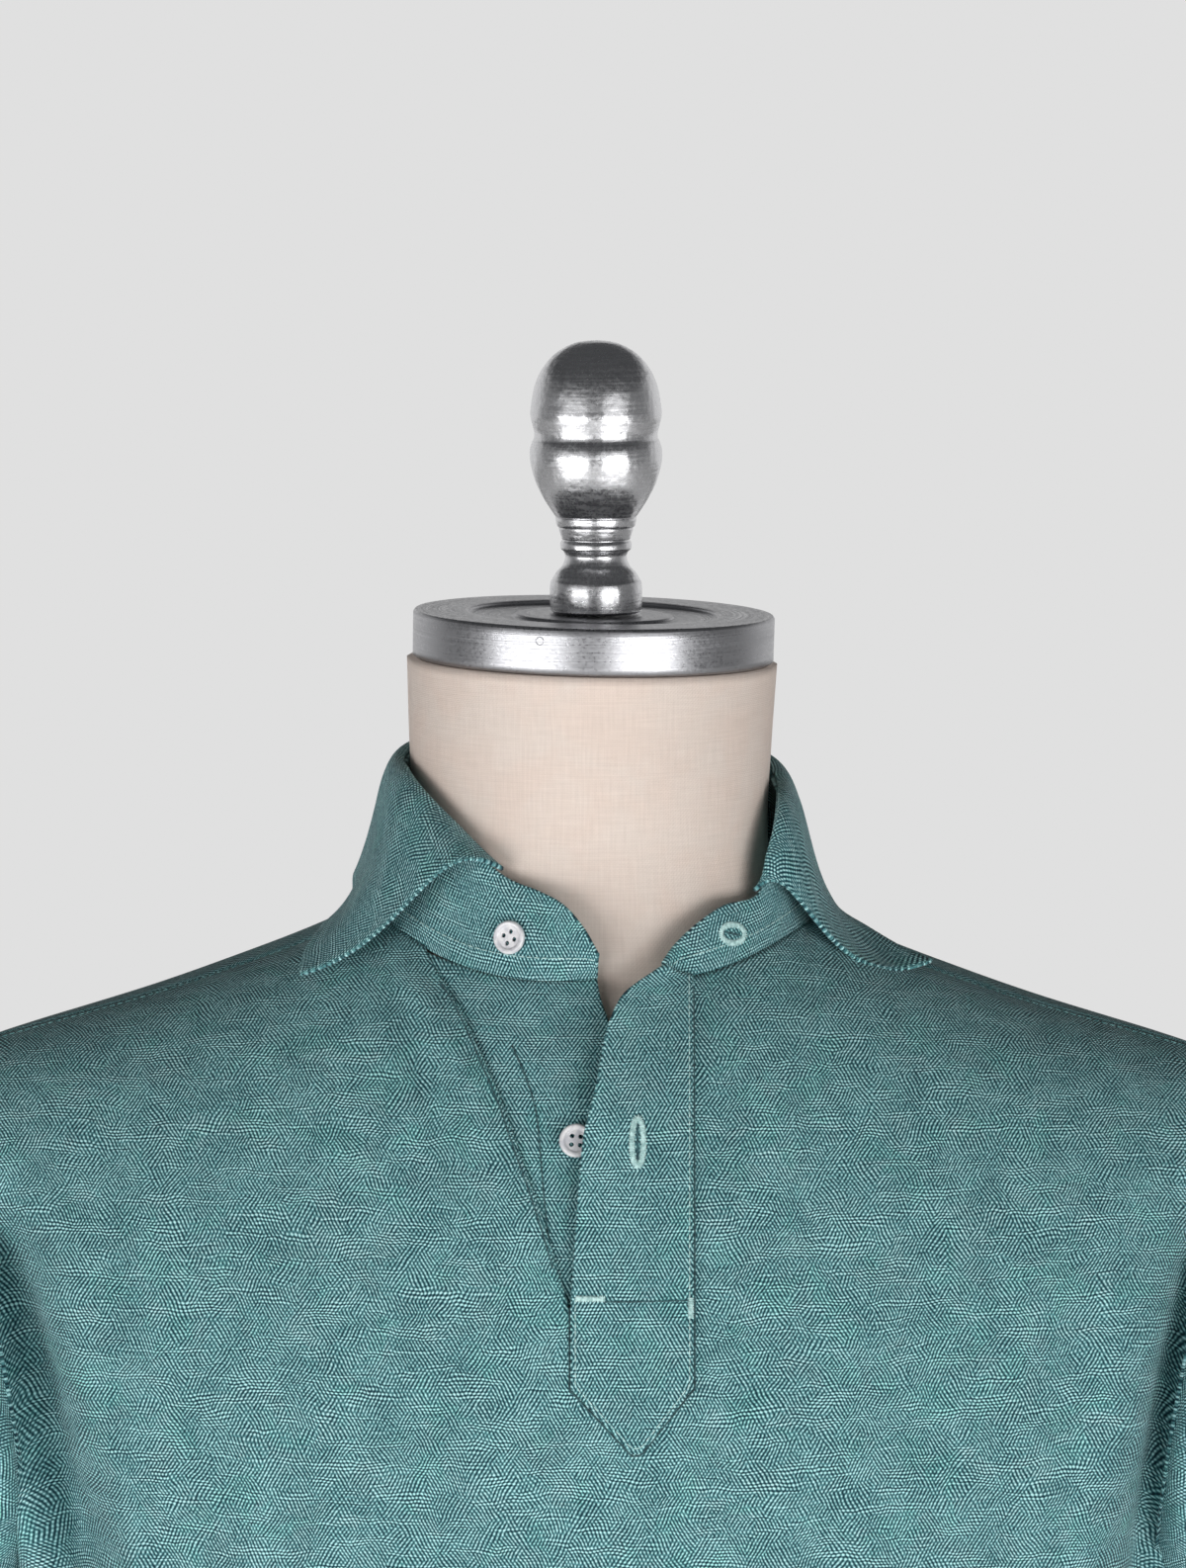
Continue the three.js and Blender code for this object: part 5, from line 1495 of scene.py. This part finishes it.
def polyline(corners, step=1.5):
    """Points every step mm along straight lines between (x, z) corners."""
    out = [np.array(corners[:1], float)]
    for (x0, z0), (x1, z1) in zip(corners, corners[1:]):
        count = max(2, int(math.hypot(x1 - x0, z1 - z0) / step) + 1)
        share = np.linspace(0, 1, count)[1:, None]
        out.append(np.array([[x0, z0]]) + share * np.array([[x1 - x0, z1 - z0]]))
    return np.concatenate(out)


# Steps in mm that a normal is read over on the front, and the way it faces
ON_FRONT = ((0.5, -0.5), -1)


def band_outline(inset, top_z, side_up, tip_half, tip_up, foot_up):
    """X and z round the upper band's stitched side, point and free side, down to the slit's foot.
    side_up, tip_up and foot_up raise its corners in mm, and tip_half is half its tip's width."""
    left, right = float(free_edge_x(SLIT_FOOT_Z)) + inset, BAND_SEAM_X - inset
    side_z, tip_z = BAND_SIDE_Z + side_up, BAND_TIP_Z + tip_up
    corners = [
        (right, top_z),
        (right, side_z),
        (BAND_TIP_X + tip_half, tip_z),
        (BAND_TIP_X - tip_half, tip_z),
        (left, side_z),
        (left, SLIT_FOOT_Z + foot_up),
    ]
    return polyline(corners).T


# How far the placket's topstitching lies inside the upper band's edges
PLACKET_INSET = 1.3


def placket_lines():
    top_z = float(neckline_z(BAND_SEAM_X - PLACKET_INSET)) - 1.5
    return [line_on(on_band, *band_outline(PLACKET_INSET, top_z, 0.6, 1.4, 1.6, 2), *ON_FRONT)]


# Z of the dark lines: seams along the button band's outer and inner side, partly painted crease shade, top of
# the painted shadow round the upper band, and the seam across it
OUTER_SEAM_Z, INNER_SEAM_Z, BAND_SHADE_TOP_Z, CROSS_SEAM_Z = (684, 770), (692, 752), 768, 672.4
CROSS_SEAM_X = (4.6, 30.6)


def placket_seams_and_shade():
    """The placket's dark lines: seams along both sides of the button band, partly painted shade in their
    creases, a painted shadow round the upper band, and a seam across it.
    """
    # Dark lines along the button band's sides: seams, and painted shade in the creases beside them
    z = np.linspace(*OUTER_SEAM_Z, 70)
    lines = [line_on(front_at, seam_x(z) - 0.9, z, *ON_FRONT, 0.05)]
    z = np.linspace(*INNER_SEAM_Z, 50)
    inner = seam_x(z) + 12 * smooth((z - OUTER_SEAM_Z[0]) / 62)
    lines.append(line_on(lambda a, b: front_at(a, b, -BAND_TUCK_DEPTH), inner, z, *ON_FRONT, 0.05))
    # A dark line just outside the upper band's edge: painted shadow
    outline = band_outline(-0.7, BAND_SHADE_TOP_Z, -0.6, BAND_TIP_HALF, -0.9, -2)
    lines.append(line_on(front_at, *outline, *ON_FRONT, 0.1))
    lines.append(line_on(on_band, np.linspace(*CROSS_SEAM_X, 30), CROSS_SEAM_Z, *ON_FRONT, 0.02))
    return lines


def stand_lines():
    station = np.linspace(0.35, 21.7, 260)
    height = np.linalg.norm(stand_point(station, 1.0) - stand_point(station, 0.0), axis=-1)
    t = np.minimum(7.8 / height, 0.62)
    return [line_on(stand_point, station, t, (0.05, 0.02), -1, 0.55)]


# Rows of stitches as shares of a column or of a sleeve
SHOULDER_ROW = 0.984
HEM_ROWS = (-0.957, -0.949)
CUFF_ROWS = (0.915, 0.902)


def shoulder_lines():
    surface = partial(body_surface, FRONT)
    angles = np.linspace(20, 88.5, 90)
    return [line_on(surface, turn * angles, SHOULDER_ROW, (0.4, -0.004), -1, 0.12) for turn in (-1, 1)]


def hem_lines():
    lines = []
    angle = np.linspace(-89.6, 89.6, 200)
    for side, facing in ((FRONT, 1), (BACK, -1)):
        surface = partial(body_surface, side)
        lines += [line_on(surface, angle, v, (0.4, 0.004), facing, 0.12) for v in HEM_ROWS]
    return lines


def cuff_lines(turn):
    u = np.arange(140) / 140

    def surface(a, b):
        return sleeve_point(a % 1, b, turn)

    return [line_on(surface, u, w, (0.003, -0.004), turn, 0.4, True) for w in CUFF_ROWS]


def leaf_edge_lines():
    down, back = np.linspace(0.12, 1, 40), np.linspace(LEAF_FIRST, LEAF_LAST, 220)
    ends = np.ones(len(down) - 1)
    station = np.concatenate([LEAF_FIRST * ends, back, LEAF_LAST * ends])
    w = np.concatenate([down[:-1], np.ones(len(back)), down[::-1][1:]])
    return [line_on(leaf_point, station, w, (0.02, -0.01), -1, -0.35)]


# Half lengths of the painted shade lines in the slits of the two buttonholes, and the stand slit's direction
BAND_SLIT_HALF, STAND_SLIT_HALF, STAND_SLIT_WAY = 5, 2.2, (0.95, -0.31)


# Dark thread lines in the two buttonholes' slits: painted shade
def slit_shade_lines():
    z = np.linspace(BAND_HOLE[1] - BAND_SLIT_HALF, BAND_HOLE[1] + BAND_SLIT_HALF, 12)
    share = np.linspace(-STAND_SLIT_HALF, STAND_SLIT_HALF, 8)
    stand_x, stand_z = (middle + way * share for middle, way in zip(STAND_HOLE, STAND_SLIT_WAY))
    band_slit_shade = line_on(on_band, BAND_HOLE[0], z, *ON_FRONT, -0.35)
    return [band_slit_shade, line_on(on_stand, stand_x, stand_z, *ON_FRONT, 0.1)]


# The two bartacks at the slit's foot: one across the free edge and one up the stitched edge
CROSS_TACK_X, CROSS_TACK_Z = (-5.2, 3.6), 673.4
SIDE_TACK_X, SIDE_TACK_Z = 31.6, (667, 673)


def tack_lines():
    across = line_on(on_band, np.linspace(*CROSS_TACK_X, 12), CROSS_TACK_Z, *ON_FRONT)
    return [across, line_on(on_band, SIDE_TACK_X, np.linspace(*SIDE_TACK_Z, 9), *ON_FRONT)]


# Thread holes of a button: their radius, and how far they are from its middle each way
THREAD_HOLE_RADIUS, THREAD_HOLE_OFF = 0.78, 1.42


def button(name, point, normal, turn):
    """A four-hole button with a raised rim, laid on its cloth and turned about its own axis."""
    rim, top = BUTTON_RADIUS, BUTTON_THICK
    rows = [
        (0, 0), (rim - 1.1, 0), (rim - 0.35, 0.3), (rim, 0.95), (rim - 0.05, 1.55),
        (rim - 0.5, top - 0.05), (rim - 0.95, top), (rim - 1.45, top - 0.14),
        (rim - 1.95, top - 0.62), (rim - 2.6, top - 0.72), (0, top - 0.72),
    ]
    facing = Vector((0, 0, 1)).rotation_difference(Vector(normal)).to_matrix().to_4x4()
    place = Matrix.Translation(Vector(point + BUTTON_GAP * normal)) @ facing @ Matrix.Rotation(turn, 4, "Z")
    obj = lathe(name, smooth_profile(rows, 5, (0, 1)), 72, pearl)
    for sx, sy in ((1, 1), (1, -1), (-1, 1), (-1, -1)):
        hole_rows = [(0, -3), (THREAD_HOLE_RADIUS, -3), (THREAD_HOLE_RADIUS, 6), (0, 6)]
        hole = lathe("hole", hole_rows, 20, pearl)
        hole.data.transform(Matrix.Translation((sx * THREAD_HOLE_OFF * MM, sy * THREAD_HOLE_OFF * MM, 0)))
        cut = obj.modifiers.new("hole", "BOOLEAN")
        cut.operation, cut.object, cut.solver = "DIFFERENCE", hole, "EXACT"
        made_plain(obj)
        bpy.data.objects.remove(hole)
    place.translation = place.translation * MM
    obj.data.transform(place)
    return obj


# Turned metal
CAP_RADIUS = 61
SCREW_BEARING, SCREW_RISE = 197, 11.6
CAP_LEAN = Matrix.Translation((0, 0, NECK_TOP_Z)) @ Matrix.Rotation(math.atan(CAP_TILT), 4, "Y")


def cap():
    """The neck cap: a straight side, a flat rim, a dished ring and a raised middle."""
    rows = [
        (0, 0.4), (CAP_RADIUS - 1.1, 0.4), (CAP_RADIUS - 0.1, 1.0), (CAP_RADIUS, 15.2),
        (CAP_RADIUS - 0.6, 16.1), (CAP_RADIUS - 1.6, 16.25), (43.6, 16.2), (42.4, 15.9), (41.4, 14.9),
        (36, 14.5), (30, 14.2), (27.4, 14.5), (26.4, 15.3), (25.4, 15.45), (0, 15.45),
    ]
    return lathe("NeckCap", smooth_profile(rows, 5, (0, 1, 2, 3, 5, 6, 13)), 200, cap_metal, CAP_LEAN)


def cap_screw():
    """A round screw with a sunk face, let into the cap's side."""
    rows = [(0, -0.9), (1.6, -0.8), (1.45, 0.16), (1.15, 0.1), (1.0, -0.6), (0, -0.6)]
    bearing = math.radians(SCREW_BEARING)
    out = Vector((math.sin(bearing), math.cos(bearing), 0))
    facing = Vector((0, 0, 1)).rotation_difference(out).to_matrix().to_4x4()
    place = CAP_LEAN @ Matrix.Translation(out * CAP_RADIUS + Vector((0, 0, SCREW_RISE))) @ facing
    return lathe("CapScrew", rows, 24, cap_metal, place)


def finial():
    """Foot, narrow neck, beaded stem and urn, turned in one."""
    rows = [
        (0, 0), (14.3, 0), (15.4, 0.8), (15.5, 1.6), (15.5, 9.2), (14.6, 11.6), (13.2, 13.8), (11.4, 15.8),
        (10.4, 18.6), (10.9, 20.6), (11.9, 21.6), (12, 23.4), (11.4, 24.6), (11.7, 25.4), (12.5, 28.2),
        (12.6, 28.9), (13.2, 29.5), (13.7, 31.8), (13.5, 32.4), (14.2, 33.2), (17.6, 38.5), (20.3, 44),
        (22, 50), (22.3, 54.5), (21.6, 57.3), (20.9, 58.9), (20.8, 60.6), (21.4, 63.2), (22.1, 66.3),
        (22, 69), (20.8, 76), (18.2, 82), (13.6, 87.3), (7, 90.8), (0, 91.7),
    ]
    matrix = Matrix.Translation((1, 0, NECK_TOP_Z + FINIAL_FOOT))
    return lathe("Finial", smooth_profile(rows, 5, (0, 1)), 160, finial_metal, matrix)


# Dressing the frame
def worn(obj, *nodes):
    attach(obj, "root")
    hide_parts(*nodes)
    return obj


front = worn(front_panel(), "front")
back = worn(back_panel(), "back")
sleeve_left = worn(sleeve("SleeveLeft", 1), "sleeve_left")
sleeve_right = worn(sleeve("SleeveRight", -1), "sleeve_right")
stand = collar_stand()
cut_oval(stand, *STAND_HOLE)
worn(stand, "collar_stand")
leaf = worn(collar_leaf(), "collar_leaf")
under_band = worn(button_band(), "button_band")
over_band = buttonhole_band()
cut_oval(over_band, *BAND_HOLE)
worn(over_band, "buttonhole_band")
worn(form_body(), "form_body")
worn(cap(), "neck_cap")
worn(finial(), "finial")
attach(cap_screw(), "root")

stand_button_place, stand_button_normal, _ = line_on(
    stand_point, [STAND_BUTTON_STATION], [STAND_BUTTON_HEIGHT], (0.3, 0.2), -1, 0.3
)
worn(button("ButtonCollar", stand_button_place[0], stand_button_normal[0], 0.1), "button_collar")
band_button_place, band_button_normal, _ = line_on(front_at, [BAND_BUTTON_X], [BAND_BUTTON_Z], *ON_FRONT, 0.0)
worn(button("ButtonFront", band_button_place[0], band_button_normal[0], -0.12), "button_front")

placket_stitches = sewn("PlacketStitching", placket_lines(), TOPSTITCH, mint_thread)
# The placket's dark lines: seams that are partly painted shade, and a painted shadow round the upper band
placket_seam_and_shade = sewn("PlacketSeamsAndShade", placket_seams_and_shade(), SEAM_AND_SHADE_STITCH, seam_and_shade_thread)
stand_stitches = sewn("StandStitching", stand_lines(), TOPSTITCH, mint_thread)
shoulder_stitches = sewn("ShoulderStitching", shoulder_lines(), TOPSTITCH, knit_thread)
hem_stitches = sewn("HemStitching", hem_lines(), TOPSTITCH, knit_thread)
cuff_stitches = [
    sewn("CuffStitchingLeft", cuff_lines(1), TOPSTITCH, knit_thread),
    sewn("CuffStitchingRight", cuff_lines(-1), TOPSTITCH, knit_thread),
]
leaf_edge = sewn("LeafEdging", leaf_edge_lines(), WHIPPED, edge_thread)

hole_line = line_on(on_band, *oval(*BAND_HOLE_RING), *ON_FRONT, 0.15, True)
band_hole_ring = sewn("BandButtonhole", [hole_line], SATIN, mint_thread)
hole_line = line_on(on_stand, *oval(*STAND_HOLE_RING), *ON_FRONT, 0.5, True)
stand_hole_ring = sewn("StandButtonhole", [hole_line], SATIN, mint_thread)
# The dark thread in the buttonhole slits is painted shade.
slit_shade = sewn("ButtonholeSlitShade", slit_shade_lines(), SLIT_SHADE_STITCH, seam_and_shade_thread)
band_tacks = sewn("PlacketTacks", tack_lines(), SATIN, mint_thread)


# Floor, light and air
FLOOR_RADIUS, FLOOR_SIDES = 4000, 64
FLOOR_GREY = (0.72, 0.72, 0.72, 1)
WALL_GREY = (0.745, 0.745, 0.745, 1)


def pale_floor():
    turn = np.linspace(0, 2 * math.pi, FLOOR_SIDES, endpoint=False)
    ring = stack(FLOOR_RADIUS * np.cos(turn), FLOOR_RADIUS * np.sin(turn), 0)
    look = {"Base_Color": FLOOR_GREY, "Emission_Color": FLOOR_GREY, "Emission_Strength": 0.3}
    material = new_material("pale_floor", Roughness=0.8, **look)[0]
    floor = make_object("Floor", ring, [list(range(FLOOR_SIDES))], material)


def softbox(name, bearing, distance, height, width, tall, power):
    """A soft panel light. bearing is the angle to the right of the camera's side, in degrees."""
    light = bpy.data.lights.new(name, "AREA")
    light.shape, light.size, light.size_y, light.energy = "RECTANGLE", width, tall, power
    obj = bpy.data.objects.new(name, light)
    scene.collection.objects.link(obj)
    around = math.radians(bearing)
    obj.location = (distance * math.sin(around), -distance * math.cos(around), height)
    obj.rotation_euler = (math.radians(90), 0, around)
    obj.visible_camera = False
    return obj


def studio_air():
    """The air: a pale backdrop to the camera, a darker room in the metal, a faint light on the cloth."""
    world = bpy.data.worlds.new("studio")
    scene.world = world
    world.use_nodes = True
    tree = world.node_tree
    background = tree.nodes["Background"]
    place = put(tree, "ShaderNodeTexCoord").outputs["Generated"]
    parts = put(tree, "ShaderNodeSeparateXYZ", None, {0: place}).outputs
    behind = remap(tree, parts[1], 0.1, 0.8)
    low = remap(tree, parts[2], 0.5, 0.2)
    ground = remap(tree, parts[2], -0.5, -0.1, 0.5, 1.0)
    share = maths(tree, "MULTIPLY", maths(tree, "MULTIPLY", behind, low), ground)
    mirrored = blend_colour(tree, low, (0.07, 0.072, 0.075, 1), (0.2, 0.202, 0.205, 1))
    mirrored = blend_colour(tree, share, mirrored, WALL_GREY)
    faint = remap(tree, parts[2], 0.6, -0.4)
    faint = blend_colour(tree, faint, (0.05, 0.05, 0.05, 1), (0.17, 0.17, 0.17, 1))
    path = put(tree, "ShaderNodeLightPath").outputs
    colour = blend_colour(tree, path["Is Glossy Ray"], faint, mirrored)
    colour = blend_colour(tree, path["Is Camera Ray"], colour, WALL_GREY)
    tree.links.new(colour, background.inputs["Color"])


# Bearing in degrees, distance, height, width and tallness in metres, and power in watts of each light
SOFTBOXES = {
    "softbox_left": (-41, 2.0, 0.44, 1.75, 0.75, 19.8),
    "softbox_left_top": (-41, 2.0, 1.3, 1.75, 0.6, 1.5),
    "softbox_right": (33, 2.0, 0.44, 1.4, 0.75, 19.4),
    "softbox_right_top": (33, 2.0, 1.3, 1.4, 0.6, 2),
}

pale_floor()
for light_name, light_sizes in SOFTBOXES.items():
    softbox(light_name, *light_sizes)
# The metal doesn't mirror the light from behind.
back_light = softbox("softbox_back", 180, 2.2, 0.7, 2.2, 1.0, 20)
back_light.visible_glossy = False
studio_air()
scene.view_settings.view_transform = "Standard"
scene.view_settings.look = "None"
